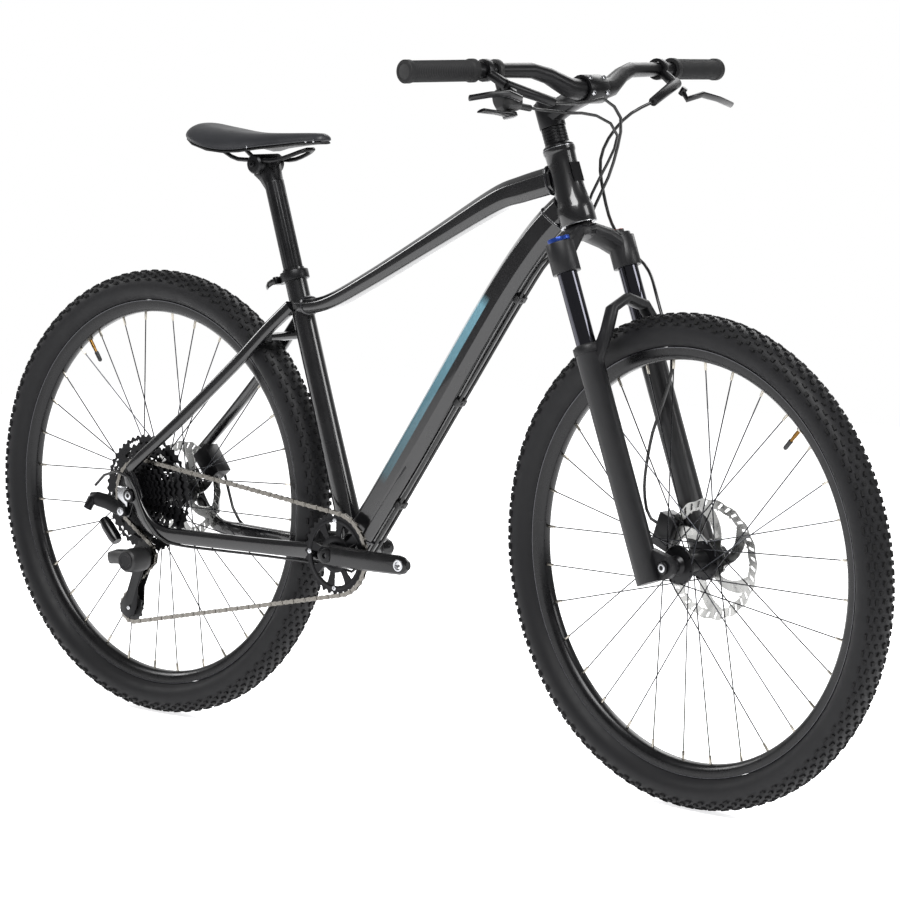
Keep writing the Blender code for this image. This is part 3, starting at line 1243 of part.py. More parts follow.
def make_hoses():
    """The two brake hoses and the gear housing, whole, from their levers to where they end."""
    down = (0.790, 0.738, 0.680, 0.621, 0.560, 0.503, 0.465)
    rear = [
        (0.9205, -0.1180, 1.0285), (0.9220, -0.0550, 1.0275), (0.9280, -0.0200, 1.0350),
        (0.9320, 0.0100, 1.0170),
        (0.9230, 0.0320, 0.9895), (0.8950, 0.0450, 0.9270), (0.8700, 0.0435, 0.8790),
        (0.8560, 0.0380, 0.8440),
        (0.8450, 0.0250, 0.8180),
    ]
    rear += [under_down(x, HOSE_SPREAD) for x in down]
    rear += [
        (0.4400, 0.0080, 0.2835), (0.4050, 0.0220, 0.2880), (0.3600, 0.0350, 0.2915),
        (0.2600, 0.0440, 0.2922),
        (0.2050, 0.0530, 0.2918), (0.1600, 0.0665, 0.3000), (0.1150, 0.0735, 0.3130),
        (0.0880, 0.0765, 0.3380),
        (0.0750, 0.0775, 0.3700), (0.0670, 0.0760, 0.3970), (0.0630, 0.0732, 0.4130),
    ]
    place(wire("rear_brake_hose", smooth_path(rear, 60), HOSE_RADIUS), "rear_brake_hose", HOSE_BLACK, BIKE)
    shift = [
        (0.8850, -0.1270, 1.0200), (0.9090, -0.0750, 1.0130), (0.9190, -0.0350, 1.0120),
        (0.9300, 0.0, 0.9970),
        (0.9260, 0.0200, 0.9770), (0.9030, 0.0340, 0.9480), (0.8700, 0.0350, 0.8960),
        (0.8560, 0.0340, 0.8620),
        (0.8480, 0.0290, 0.8350), (0.8390, 0.0130, 0.8120),
    ]
    shift += [under_down(x, -HOSE_SPREAD) for x in down]
    shift += [
        (0.4400, -0.0080, 0.2835), (0.4050, -0.0220, 0.2880), (0.3600, -0.0350, 0.2915),
        (0.2600, -0.0425, 0.2922),
        (0.1400, -0.0570, 0.2922), (0.1000, -0.0660, 0.2945), (0.0700, -0.0765, 0.3010),
        (0.0460, -0.0795, 0.3240),
        (0.0300, -0.0798, 0.3480), (0.0190, -0.0798, 0.3720), (0.0060, -0.0800, 0.3920),
        (-0.0120, -0.0805, 0.4030),
        (-0.0330, -0.0815, 0.4030), (-0.0560, -0.0830, 0.3930), (-0.0720, -0.0835, 0.3770),
    ]
    place(wire("shift_cable", smooth_path(shift, 60), 0.0023), "shift_cable", HOSE_BLACK, BIKE)
    front = [
        Vector((0.9190, 0.1075, 1.0265)), Vector((0.9020, 0.0850, 1.0120)), Vector((0.8870, 0.0680, 0.9910)),
        Vector((0.8730, 0.0550, 0.9600)), Vector((0.8680, 0.0530, 0.9260)), Vector((0.8800, 0.0560, 0.8680)),
        in_fork(-0.0060, 0.0800, -0.0130), in_fork(0.0000, 0.0925, -0.0450), in_fork(0.0250, 0.0930, -0.0830),
        in_fork(0.0600, 0.0580, -0.1380), in_fork(0.0730, 0.0380, -0.2370), in_fork(0.0350, 0.0365, -0.2900),
        in_fork(-0.0010, 0.0365, -0.3270), in_fork(-0.0410, 0.0390, -0.3850), in_fork(
            -0.0540, 0.0400, -0.4250
        ),
        in_fork(-0.0480, 0.0385, -0.4460), in_fork(-0.0365, 0.0385, -0.4550),
    ]
    place(wire("front_brake_hose", smooth_path(front, 46), HOSE_RADIUS), "front_brake_hose", HOSE_BLACK, BIKE)


def set_on_ground():
    """Moves the whole bike so that its footprint is centred on the origin and the tyres touch Z = 0."""
    bpy.context.view_layer.update()
    low, high = Vector((9.0, 9.0, 9.0)), Vector((-9.0, -9.0, -9.0))
    for part in PARTS.objects:
        if part.type != "MESH":
            continue
        for vertex in part.data.vertices:
            point = part.matrix_world @ vertex.co
            low = Vector(map(min, low, point))
            high = Vector(map(max, high, point))
    BIKE.location = (-(low.x + high.x) / 2, -(low.y + high.y) / 2, -low.z)
    bpy.context.view_layer.update()


make_head_tube()
make_main_tubes()
make_bottom_bracket()
make_stays()
make_seat_clamp()
make_seat_post()
make_saddle()
make_cranks()
make_chainring()
make_chain()
make_cassette()
make_rear_wheel()
make_rear_caliper()
make_front_wheel()
make_derailleur()
make_cage()
make_fork_crown()
make_fork_lowers()
make_front_caliper()
make_stem()
make_handlebar()
make_grips()
make_brake_levers()
make_shifter()
make_hoses()
set_on_ground()
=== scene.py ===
"""A hardtail mountain bike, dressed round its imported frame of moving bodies."""

import json
import math

import bmesh
import bpy
from mathutils import Matrix, Vector

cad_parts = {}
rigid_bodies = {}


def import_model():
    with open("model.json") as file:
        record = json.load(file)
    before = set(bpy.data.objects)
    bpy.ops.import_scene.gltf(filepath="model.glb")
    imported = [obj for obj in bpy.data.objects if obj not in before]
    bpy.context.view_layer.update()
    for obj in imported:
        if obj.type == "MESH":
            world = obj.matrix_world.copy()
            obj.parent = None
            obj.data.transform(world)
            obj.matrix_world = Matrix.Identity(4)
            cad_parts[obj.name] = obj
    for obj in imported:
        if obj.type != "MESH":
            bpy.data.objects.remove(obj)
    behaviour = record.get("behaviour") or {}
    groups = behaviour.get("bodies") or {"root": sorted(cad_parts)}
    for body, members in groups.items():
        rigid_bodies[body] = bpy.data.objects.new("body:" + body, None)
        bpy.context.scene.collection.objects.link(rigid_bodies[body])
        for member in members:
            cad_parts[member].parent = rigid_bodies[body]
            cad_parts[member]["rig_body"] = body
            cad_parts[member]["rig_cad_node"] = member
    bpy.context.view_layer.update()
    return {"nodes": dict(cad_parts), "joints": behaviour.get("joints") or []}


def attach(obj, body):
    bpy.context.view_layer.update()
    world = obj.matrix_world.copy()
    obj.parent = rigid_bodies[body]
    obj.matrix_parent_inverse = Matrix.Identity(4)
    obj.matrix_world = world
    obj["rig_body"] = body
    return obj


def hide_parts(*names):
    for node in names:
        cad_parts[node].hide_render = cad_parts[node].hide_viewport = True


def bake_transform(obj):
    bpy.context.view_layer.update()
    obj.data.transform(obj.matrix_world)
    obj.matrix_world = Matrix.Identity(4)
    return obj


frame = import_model()

bl_info = {
    "name": "Mountain Bike",
    "version": (1, 0, 0),
    "blender": (4, 5, 0),
    "location": "View3D > Sidebar > Mountain Bike",
    "description": "Builds the looks of a hardtail mountain bike, one piece at a time",
    "category": "Object",
}

JOINTS = {joint["name"]: joint for joint in frame["joints"]}


def joint_place(name):
    return Vector(JOINTS[name]["pos_m"])


# ---------------------------------------------------------------- where things are
HUB = joint_place("rear_wheel_spin")
BB = joint_place("crank_spin")
HEAD_BASE = joint_place("steering")
SHIFT = Vector((HUB.x, 0.0, 0.0))
LEAN = math.radians(69.5 - 90.0)
STEER_AT_REST = math.radians(-4.9)
SEAT_LEAN = math.radians(72.1 - 90.0)
UP_SEAT = Vector((math.sin(SEAT_LEAN), 0.0, math.cos(SEAT_LEAN)))
AXLE_X = 0.046
FORK_LENGTH = 0.530
LEG_X = 0.013
LEG_Y = 0.065
BAR_X = 0.0856
BAR_Z = 0.182
HEAD = Matrix.Translation(HEAD_BASE) @ Matrix.Rotation(LEAN, 4, "Y")
STEERING = HEAD @ Matrix.Rotation(STEER_AT_REST, 4, "Z")
SEAT = Matrix.Translation(BB) @ Matrix.Rotation(SEAT_LEAN, 4, "Y")
REAR_AXLE = Matrix.Translation(HUB)
FRONT_AXLE = (
    STEERING @ Matrix.Translation((AXLE_X, 0.0, -FORK_LENGTH)) @ Matrix.Rotation(-LEAN, 4, "Y")
)
CRANK = Matrix.Translation(BB)
CHAIN_Y = -0.0475


# ---------------------------------------------------------------- what a user would change
class BikeSizes(bpy.types.PropertyGroup):
    knob_rows: bpy.props.IntProperty(
        name="Tread rows", description="Rows of knobs round each tyre", default=88, min=20, max=140
    )
    knob_height: bpy.props.FloatProperty(
        name="Knob height", description="How far a knob stands out of the casing", default=0.0034,
        unit="LENGTH", subtype="DISTANCE",
    )
    spoke_radius: bpy.props.FloatProperty(
        name="Spoke radius", description="Half the thickness of a spoke", default=0.00095, unit="LENGTH",
        subtype="DISTANCE", precision=5,
    )
    chain_pitch: bpy.props.FloatProperty(
        name="Chain pitch", description="From one chain pin to the next", default=0.0127, unit="LENGTH",
        subtype="DISTANCE", precision=4,
    )
    weld_bead: bpy.props.FloatProperty(
        name="Weld bead", description="Radius of the bead where two tubes meet", default=0.0026,
        unit="LENGTH", subtype="DISTANCE", precision=4,
    )


def colour_property(label, what, value):
    return bpy.props.StringProperty(name=label, description=what + ", as an sRGB hex value", default=value)


class BikeColours(bpy.types.PropertyGroup):
    paint: colour_property("Frame paint", "Gloss lacquer of the frame", "#08080A")
    graphic: colour_property("Graphic", "Pale end of the stripe on the down tube", "#5E8592")
    graphic_deep: colour_property("Deep graphic", "Dark end of the stripe on the down tube", "#173841")
    sidewall: colour_property("Sidewall", "Smooth flank of the tyres", "#101012")
    tread: colour_property("Tread", "Knobs and crown of the tyres", "#0A0A0B")
    dial: colour_property("Dial", "Anodised lockout dial", "#1B3A86")
    cap: colour_property("Air cap", "Anodised cap on the left leg", "#B4441C")
    saddle: colour_property("Saddle", "Cover of the saddle", "#17181C")


class BikeStage(bpy.types.PropertyGroup):
    floor: colour_property("Floor", "Studio floor", "#F4F4F5")
    key_power: bpy.props.FloatProperty(
        name="Key light", description="Power of the large soft light", default=260.0, unit="POWER"
    )
    fill_power: bpy.props.FloatProperty(
        name="Fill light", description="Power of the side and rear lights", default=60.0, unit="POWER"
    )
    floor_glow: bpy.props.FloatProperty(
        name="Floor glow", description="How much the light table under the bike shines", default=0.85
    )
    room_level: bpy.props.FloatProperty(
        name="Room", description="Brightness of the room away from the white backdrop", default=0.22
    )


# ---------------------------------------------------------------- modelling by hand
def only(*pieces):
    """Object mode, with just these pieces selected and the first one active."""
    if bpy.context.mode != "OBJECT":
        bpy.ops.object.mode_set(mode="OBJECT")
    bpy.ops.object.select_all(action="DESELECT")
    for piece in pieces:
        piece.select_set(True)
    bpy.context.view_layer.objects.active = pieces[0]


def start(name):
    """Names the primitive that was just added and gives it back."""
    piece = bpy.context.object
    piece.name = name
    piece.data.name = name
    return piece


def edit(piece):
    only(piece)
    bpy.ops.object.mode_set(mode="EDIT")
    bpy.ops.mesh.select_all(action="SELECT")
    return bmesh.from_edit_mesh(piece.data)


def closed(piece, gap=0.000004):
    """Merges what coincides and turns every face outwards."""
    edit(piece)
    bpy.ops.mesh.remove_doubles(threshold=gap)
    bpy.ops.mesh.normals_make_consistent(inside=False)
    bpy.ops.object.mode_set(mode="OBJECT")
    return piece


def smooth(piece, angle=35.0):
    only(piece)
    bpy.ops.object.shade_smooth_by_angle(angle=math.radians(angle))
    return piece


def settle(piece, matrix):
    """Puts a piece modelled about the origin in its place, with the place in its mesh."""
    only(piece)
    piece.matrix_world = matrix @ piece.matrix_world
    bpy.ops.object.transform_apply(location=True, rotation=True, scale=True)
    return piece


def apply_modifier(piece, kind, **settings):
    only(piece)
    bpy.ops.object.modifier_add(type=kind)
    modifier = piece.modifiers[-1]
    for word, value in settings.items():
        setattr(modifier, word, value)
    bpy.ops.object.modifier_apply(modifier=modifier.name)
    return piece


def joined(name, pieces):
    only(*pieces)
    if len(pieces) > 1:
        bpy.ops.object.join()
    return start(name)


def tidy_deselect():
    if bpy.context.mode != "OBJECT":
        bpy.ops.object.mode_set(mode="OBJECT")
    bpy.ops.object.select_all(action="DESELECT")


def key_of(point):
    return tuple(round(value * 1e6) for value in point)


def through(name, rings):
    """A disc extruded from ring to ring of points, so it makes one closed body."""
    tidy_deselect()
    bpy.ops.mesh.primitive_circle_add(vertices=len(rings[0]), fill_type="NGON")
    piece = start(name)
    work = edit(piece)
    work.faces.ensure_lookup_table()
    cap = work.faces[0]
    for vert, point in zip(cap.verts, rings[0]):
        vert.co = point
    for before, ring in zip(rings, rings[1:]):
        spot = {key_of(point): index for index, point in enumerate(before)}
        bpy.ops.mesh.extrude_region_move()
        work = bmesh.from_edit_mesh(piece.data)
        for vert in work.verts:
            if vert.select:
                vert.co = ring[spot[key_of(vert.co)]]
    bmesh.update_edit_mesh(piece.data)
    return closed(piece)


def round_ring(centre, along, across, radius, sides):
    """Points of a circle about a centre, square to the direction along."""
    side = (Vector(across) - along * along.dot(Vector(across))).normalized()
    up = along.cross(side)
    return [
        centre + (side * math.cos(turn) + up * math.sin(turn)) * radius
        for turn in (2 * math.pi * step / sides for step in range(sides))
    ]


def bar_between(name, points, radii, sides=12, across=(0.0, 1.0, 0.0)):
    """A round bar through points, with its own radius at each."""
    points = [Vector(point) for point in points]
    rings = []
    for index, point in enumerate(points):
        along = (points[min(index + 1, len(points) - 1)] - points[max(index - 1, 0)]).normalized()
        lean = across if abs(along.dot(Vector(across))) < 0.95 else (1.0, 0.0, 0.1)
        rings.append(round_ring(point, along, lean, radii[index], sides))
    return through(name, rings)


def turned(name, profile, steps, axis="Y"):
    """A closed outline of (radius, height) points spun once round the Y or the Z axis."""
    tidy_deselect()
    bpy.ops.mesh.primitive_circle_add(vertices=len(profile), fill_type="NOTHING")
    piece = start(name)
    work = edit(piece)
    work.verts.ensure_lookup_table()
    for vert, (radius, height) in zip(work.verts, profile):
        vert.co = (radius, height, 0.0) if axis == "Y" else (radius, 0.0, height)
    bmesh.update_edit_mesh(piece.data)
    bpy.ops.mesh.spin(
        steps=steps, angle=2 * math.pi, center=(0, 0, 0), axis=(0, 1, 0) if axis == "Y" else (0, 0, 1)
    )
    return closed(piece)


def repeated(piece, count, axis=(0.0, 1.0, 0.0)):
    """Copies of all of a piece round the origin, evenly spread and in the same mesh."""
    edit(piece)
    bpy.ops.mesh.spin(
        steps=count - 1, dupli=True, angle=2 * math.pi * (count - 1) / count, center=(0, 0, 0), axis=axis
    )
    bpy.ops.object.mode_set(mode="OBJECT")
    return piece


def block(name, size, middle, taper=1.0, turn=None):
    """A block whose outer end is drawn in, with softened edges."""
    tidy_deselect()
    bpy.ops.mesh.primitive_cube_add(size=1.0)
    piece = start(name)
    work = edit(piece)
    for vert in work.verts:
        if vert.co.z > 0:
            vert.co.x *= taper
            vert.co.y *= taper
        vert.co = Vector([c * s for c, s in zip(vert.co, size)])
    bmesh.update_edit_mesh(piece.data)
    matrix = Matrix.Translation(middle) @ (turn if turn is not None else Matrix.Identity(4))
    return settle(piece, matrix)


def softened(piece, width, segments=2, angle=30.0):
    apply_modifier(
        piece, "BEVEL", width=width, segments=segments, limit_method="ANGLE",
        angle_limit=math.radians(angle), use_clamp_overlap=True,
    )
    return piece


def polar_plate(name, inner, outer, keep, around, across, thickness):
    """A flat ring of small cells round Y, whose edges and openings come from two functions.

    outer gives the edge's radius at an angle. keep says whether the cell at an angle and a share of
    the way out stays.
    """
    tidy_deselect()
    bpy.ops.mesh.primitive_grid_add(x_subdivisions=around, y_subdivisions=across, size=2.0)
    piece = start(name)
    work = edit(piece)
    cells = {}
    for face in work.faces:
        middle = face.calc_center_median()
        cells[face.index] = (math.pi * (middle.x + 1.0), (middle.y + 1.0) / 2)
    for vert in work.verts:
        turn, share = math.pi * (vert.co.x + 1.0), (vert.co.y + 1.0) / 2
        radius = inner + (outer(turn) - inner) * share
        vert.co = (radius * math.cos(turn), 0.0, radius * math.sin(turn))
    bpy.ops.mesh.select_all(action="DESELECT")
    bpy.ops.mesh.select_mode(type="FACE")
    work = bmesh.from_edit_mesh(piece.data)
    for face in work.faces:
        turn, share = cells[face.index]
        face.select_set(not keep(turn, share, inner + (outer(turn) - inner) * share))
    bmesh.update_edit_mesh(piece.data)
    bpy.ops.mesh.delete(type="FACE")
    bpy.ops.mesh.select_mode(type="VERT")
    bpy.ops.mesh.select_all(action="SELECT")
    bpy.ops.mesh.remove_doubles(threshold=0.00001)
    bpy.ops.object.mode_set(mode="OBJECT")
    apply_modifier(piece, "SOLIDIFY", thickness=thickness, offset=0.0)
    return closed(piece)


def from_cad(name, node, bevel=0.0, angle=35.0):
    """A copy of a CAD node's mesh as a piece of its own, merged, softened and smoothly shaded."""
    only(frame["nodes"][node])
    bpy.ops.object.duplicate()
    piece = start(name)
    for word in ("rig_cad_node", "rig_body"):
        del piece[word]
    piece.parent = None
    piece.data.materials.clear()
    closed(piece, 0.00001)
    edit(piece)
    bpy.ops.mesh.dissolve_limited(angle_limit=math.radians(1.0))
    bpy.ops.object.mode_set(mode="OBJECT")
    if bevel:
        softened(piece, bevel)
    return smooth(piece, angle)


def squircle(centre, along, across, half_width, half_height, power, sides):
    """A ring between an ellipse (power 2) and a box (higher powers)."""
    side = (Vector(across) - along * along.dot(Vector(across))).normalized()
    up = along.cross(side)
    ring = []
    for step in range(sides):
        turn = 2 * math.pi * (step + 0.5) / sides
        cos, sin = math.cos(turn), math.sin(turn)
        reach = (abs(cos) ** power + abs(sin) ** power) ** (-1 / power)
        ring.append(centre + side * half_width * cos * reach + up * half_height * sin * reach)
    return ring


def faceted(centre, along, across, half_width, half_height, flat_top, flat_side):
    """A ring of a pressed tube: a box with wide chamfers whose corners are each rounded by three points."""
    side = (Vector(across) - along * along.dot(Vector(across))).normalized()
    up = along.cross(side)
    wide, tall = half_width, half_height
    corners = []
    for sx, sy in ((1, 1), (-1, 1), (-1, -1), (1, -1)):
        pair = [(sx * wide, sy * tall * flat_side), (sx * wide * flat_top, sy * tall)]
        corners += pair if sx * sy > 0 else pair[::-1]
    ring = []
    count = len(corners)
    for index, corner in enumerate(corners):
        here = Vector(corner)
        before, after = Vector(corners[index - 1]), Vector(corners[(index + 1) % count])
        one = here + (before - here).normalized() * 0.0022
        two = here + (after - here).normalized() * 0.0022
        ring += [one, (one + two) / 4 + here / 2, two]
    return [centre + side * point.x + up * point.y for point in ring]


def eased(stations, steps):
    """More stations between the given ones, on a smooth curve through every number in them."""
    flat = [[*point, *rest] for point, *rest in stations]
    made = []
    for index in range(len(flat) - 1):
        first, start_row = flat[max(index - 1, 0)], flat[index]
        end_row, last = flat[index + 1], flat[min(index + 2, len(flat) - 1)]
        for step in range(steps):
            t = step / steps
            row = []
            for a, b, c, d in zip(first, start_row, end_row, last):
                leave, arrive = (c - a) / 2, (d - b) / 2
                row.append(
                    b * (2 * t**3 - 3 * t**2 + 1) + leave * (t**3 - 2 * t**2 + t)
                    + c * (3 * t**2 - 2 * t**3) + arrive * (t**3 - t**2)
                )
            made.append(row)
    made.append(flat[-1])
    return [(Vector(row[:3]), *row[3:]) for row in made]


def tube(name, stations, section, sides=28, across=(0.0, 1.0, 0.0)):
    """A skin through (point, numbers for the section) stations."""
    rings = []
    for index, (point, *numbers) in enumerate(stations):
        after = stations[min(index + 1, len(stations) - 1)][0]
        before = stations[max(index - 1, 0)][0]
        along = (after - before).normalized()
        if section is faceted:
            rings.append(faceted(point, along, across, *numbers))
        else:
            rings.append(squircle(point, along, across, *numbers, sides))
    return through(name, rings)


def bolt(name, radius, length, place, along, socket=0.5):
    """A cap screw: a drum with a softened rim and a socket sunk in its head."""
    along = Vector(along).normalized()
    tidy_deselect()
    bpy.ops.mesh.primitive_cylinder_add(vertices=24, radius=radius, depth=length)
    piece = start(name)
    softened(piece, radius * 0.16, 2)
    work = edit(piece)
    bpy.ops.mesh.select_all(action="DESELECT")
    bpy.ops.mesh.select_mode(type="FACE")
    work = bmesh.from_edit_mesh(piece.data)
    top = max(work.faces, key=lambda face: (face.calc_center_median().z, face.calc_area()))
    top.select_set(True)
    bmesh.update_edit_mesh(piece.data)
    bpy.ops.mesh.inset(thickness=radius * (1 - socket) * 0.8)
    bpy.ops.mesh.extrude_region_move(TRANSFORM_OT_translate={"value": (0, 0, -length * 0.45)})
    bpy.ops.mesh.select_mode(type="VERT")
    bpy.ops.object.mode_set(mode="OBJECT")
    smooth(piece, 30)
    turn = along.to_track_quat("Z", "Y").to_matrix().to_4x4()
    return settle(piece, Matrix.Translation(place) @ turn)


# ---------------------------------------------------------------- finishes
def linear(text):
    """An sRGB hex colour as linear RGBA."""
    channels = [int(text[index:index + 2], 16) / 255 for index in (1, 3, 5)]
    return (*[c / 12.92 if c <= 0.04045 else ((c + 0.055) / 1.055) ** 2.4 for c in channels], 1.0)


def add(tree, kind, inputs=None, **settings):
    """A shader node with its settings, and its inputs set or linked."""
    made = tree.nodes.new("ShaderNode" + kind)
    for word, value in settings.items():
        setattr(made, word, value)
    for socket, value in (inputs or {}).items():
        if isinstance(value, bpy.types.NodeSocket):
            tree.links.new(value, made.inputs[socket])
        else:
            made.inputs[socket].default_value = value
    return made


def per_metre(millimetres):
    return 1000.0 / millimetres


def begin(name, shader_values):
    """An empty material with its Principled shader, and a place to read object coordinates from."""
    made = bpy.data.materials.new(name)
    made.use_nodes = True
    tree = made.node_tree
    shader = tree.nodes["Principled BSDF"]
    for socket, value in shader_values.items():
        shader.inputs[socket].default_value = value
    place = add(tree, "TexCoord").outputs["Object"]
    return made, tree, shader, place


def grained(tree, shader, place, colour, spread, roughness, rough_spread, blotch, grain, depth, stretch=None):
    """Colour and roughness that drift over the surface, and a fine bump on top.

    blotch and grain are sizes in millimetres, depth is the height of the grain in millimetres.
    """
    where = place
    if stretch is not None:
        where = add(tree, "Mapping", {"Vector": place, "Scale": stretch}).outputs["Vector"]
    drift = add(tree, "TexNoise", {"Vector": place, "Scale": per_metre(blotch), "Detail": 4.0})
    deep = tuple(channel * (1 - spread) for channel in colour[:3]) + (1.0,)
    pale = tuple(min(channel * (1 + spread) + spread * 0.002, 1.0) for channel in colour[:3]) + (1.0,)
    mix = add(tree, "Mix", {0: drift.outputs["Fac"], 6: deep, 7: pale}, data_type="RGBA")
    tree.links.new(mix.outputs[2], shader.inputs["Base Color"])
    level = add(
        tree, "MapRange",
        {
            "Value": drift.outputs["Fac"], "From Min": 0.3, "From Max": 0.7,
            "To Min": max(roughness - rough_spread, 0.02), "To Max": roughness + rough_spread,
        },
    )
    tree.links.new(level.outputs["Result"], shader.inputs["Roughness"])
    fine = add(tree, "TexNoise", {"Vector": where, "Scale": per_metre(grain), "Detail": 3.0})
    bump = add(
        tree, "Bump", {"Height": fine.outputs["Fac"], "Distance": depth / 1000.0, "Strength": 1.0}
    )
    tree.links.new(bump.outputs["Normal"], shader.inputs["Normal"])
    return mix, bump


FINISHES = {}


def finish(name):
    """The named finish, made the first time that it is asked for."""
    if name not in FINISHES:
        FINISHES[name] = MAKERS[name](name)
    return FINISHES[name]


def simple(colour, metallic, roughness, spread=0.15, rough_spread=0.05, blotch=25.0, grain=0.6, depth=0.01,
           stretch=None, **shader_values):
    """A maker of one plain finish from its typical values."""
    def make(name):
        values = {"Metallic": metallic}
        values.update({word.replace("_", " "): value for word, value in shader_values.items()})
        made, tree, shader, place = begin(name, values)
        tone = linear(colour() if callable(colour) else colour)
        grained(tree, shader, place, tone, spread, roughness, rough_spread, blotch, grain, depth, stretch)
        return made
    return make


def bike():
    return bpy.context.scene.bike_colours


LACQUER_COAT = {"Specular IOR Level": 0.35, "Coat Weight": 0.7, "Coat Roughness": 0.03}


def lacquer(name):
    """Gloss black lacquer over sprayed aluminium: deep black, with the faint ripple of sprayed clear coat."""
    made, tree, shader, place = begin(name, LACQUER_COAT)
    grained(tree, shader, place, linear(bike().paint), 0.25, 0.26, 0.04, 60.0, 3.0, 0.004)
    return made


def masked(tree, place, direction, low, high, soft):
    """1 between two distances along a direction and 0 outside them, with soft ends."""
    along = add(tree, "VectorMath", {0: place, 1: direction}, operation="DOT_PRODUCT").outputs["Value"]
    rise = add(tree, "MapRange", {"Value": along, "From Min": low - soft, "From Max": low + soft})
    fall = add(
        tree, "MapRange",
        {"Value": along, "From Min": high - soft, "From Max": high + soft, "To Min": 1.0, "To Max": 0.0},
    )
    both = add(tree, "Math", {0: rise.outputs["Result"], 1: fall.outputs["Result"]}, operation="MULTIPLY")
    return both.outputs["Value"], along


MAKERS = {
    "gloss_black_lacquer": lacquer,
    # Satin anodised aluminium: black oxide that keeps a soft metal sheen.
    "satin_anodised_aluminium": simple("#0E0E10", 0.55, 0.36, grain=0.35, depth=0.006),
    # Matte powder coat on the magnesium fork lowers: even, with a fine orange peel.
    "matte_powder_coat": simple("#0F0F11", 0.0, 0.42, grain=1.1, depth=0.012, rough_spread=0.04,
                                Specular_IOR_Level=0.35),
    # Matte moulded nylon: lever pods, pulleys and end caps.
    "moulded_nylon": simple("#111112", 0.0, 0.52, grain=0.7, depth=0.012),
    # Hard chromed steel tube, ground and dark: mirror streaks down its length.
    "ground_chrome": simple("#4A4A50", 1.0, 0.09, spread=0.05, rough_spread=0.02, blotch=40.0, grain=0.8,
                            depth=0.0006),
    # Natural rubber grip: dull, with a fine moulded nap.
    "grip_rubber": simple("#121213", 0.0, 0.66, grain=0.9, depth=0.03, Specular_IOR_Level=0.3),
    # Tyre flank: charcoal compound with a faint woven casing under it.
    "tyre_flank": simple(lambda: bike().sidewall, 0.0, 0.55, spread=0.12, blotch=18.0, grain=1.0,
                         depth=0.02, Specular_IOR_Level=0.22),
    # Tread compound: darker and duller, slightly worn.
    "tread_compound": simple(lambda: bike().tread, 0.0, 0.66, spread=0.35, blotch=9.0, grain=1.2,
                             depth=0.04, Specular_IOR_Level=0.22),
    # Black anodised rim: smooth extrusion.
    "anodised_rim": simple("#0B0B0D", 0.4, 0.28, grain=0.5, depth=0.003),
    # Lighter metal line along each rim edge: a painted highlight.
    "worn_rim_edge": simple("#4A4A4D", 0.9, 0.22, grain=0.5, depth=0.003),
    # Bare aluminium: machined, pale grey.
    "machined_aluminium": simple("#B9BABD", 1.0, 0.26, spread=0.08, grain=0.5, depth=0.006),
    # Brushed stainless steel of the brake discs.
    "brushed_stainless": simple("#A8A8A6", 1.0, 0.30, spread=0.10, rough_spread=0.08, blotch=8.0, grain=0.5,
                                depth=0.01),
    # Drawn stainless spoke wire: dark between the lights it catches.
    "spoke_wire": simple("#2E2F32", 1.0, 0.24, spread=0.08, grain=0.4, depth=0.002),
    # Nickel plated nipple brass.
    "nickel_brass": simple("#A9A49A", 1.0, 0.28, grain=0.4, depth=0.004),
    "valve_brass": simple("#6E5026", 1.0, 0.30, grain=0.4, depth=0.004),
    # Chain steel: warm grey, oiled.
    "oiled_chain_steel": simple("#77746F", 1.0, 0.24, spread=0.30, rough_spread=0.10, blotch=5.0, grain=0.5,
                                depth=0.01),
    # Black oxide on the cogs and the derailleur.
    "black_oxide_steel": simple("#121214", 0.7, 0.36, spread=0.3, blotch=6.0, grain=0.5, depth=0.008),
    # Forged crank alloy in polished black.
    "polished_black_alloy": simple("#0A0A0C", 0.35, 0.22, grain=1.2, depth=0.004),
    "blue_anodised": simple(lambda: bike().dial, 0.6, 0.34, grain=0.5, depth=0.004),
    "orange_anodised": simple(lambda: bike().cap, 0.6, 0.36, grain=0.5, depth=0.004),
    # Extruded nylon jacket of hoses and housing.
    "hose_jacket": simple("#0B0B0C", 0.0, 0.34, grain=1.0, depth=0.006),
    # Microfibre saddle cover: satin, with a fine leather grain.
    "saddle_cover": simple(lambda: bike().saddle, 0.0, 0.46, spread=0.10, blotch=20.0, grain=1.3,
                           depth=0.035),
    "weld_bead": simple("#1A1A1D", 0.1, 0.24, grain=1.5, depth=0.01, Coat_Weight=0.6,
                        Coat_Roughness=0.06),
}


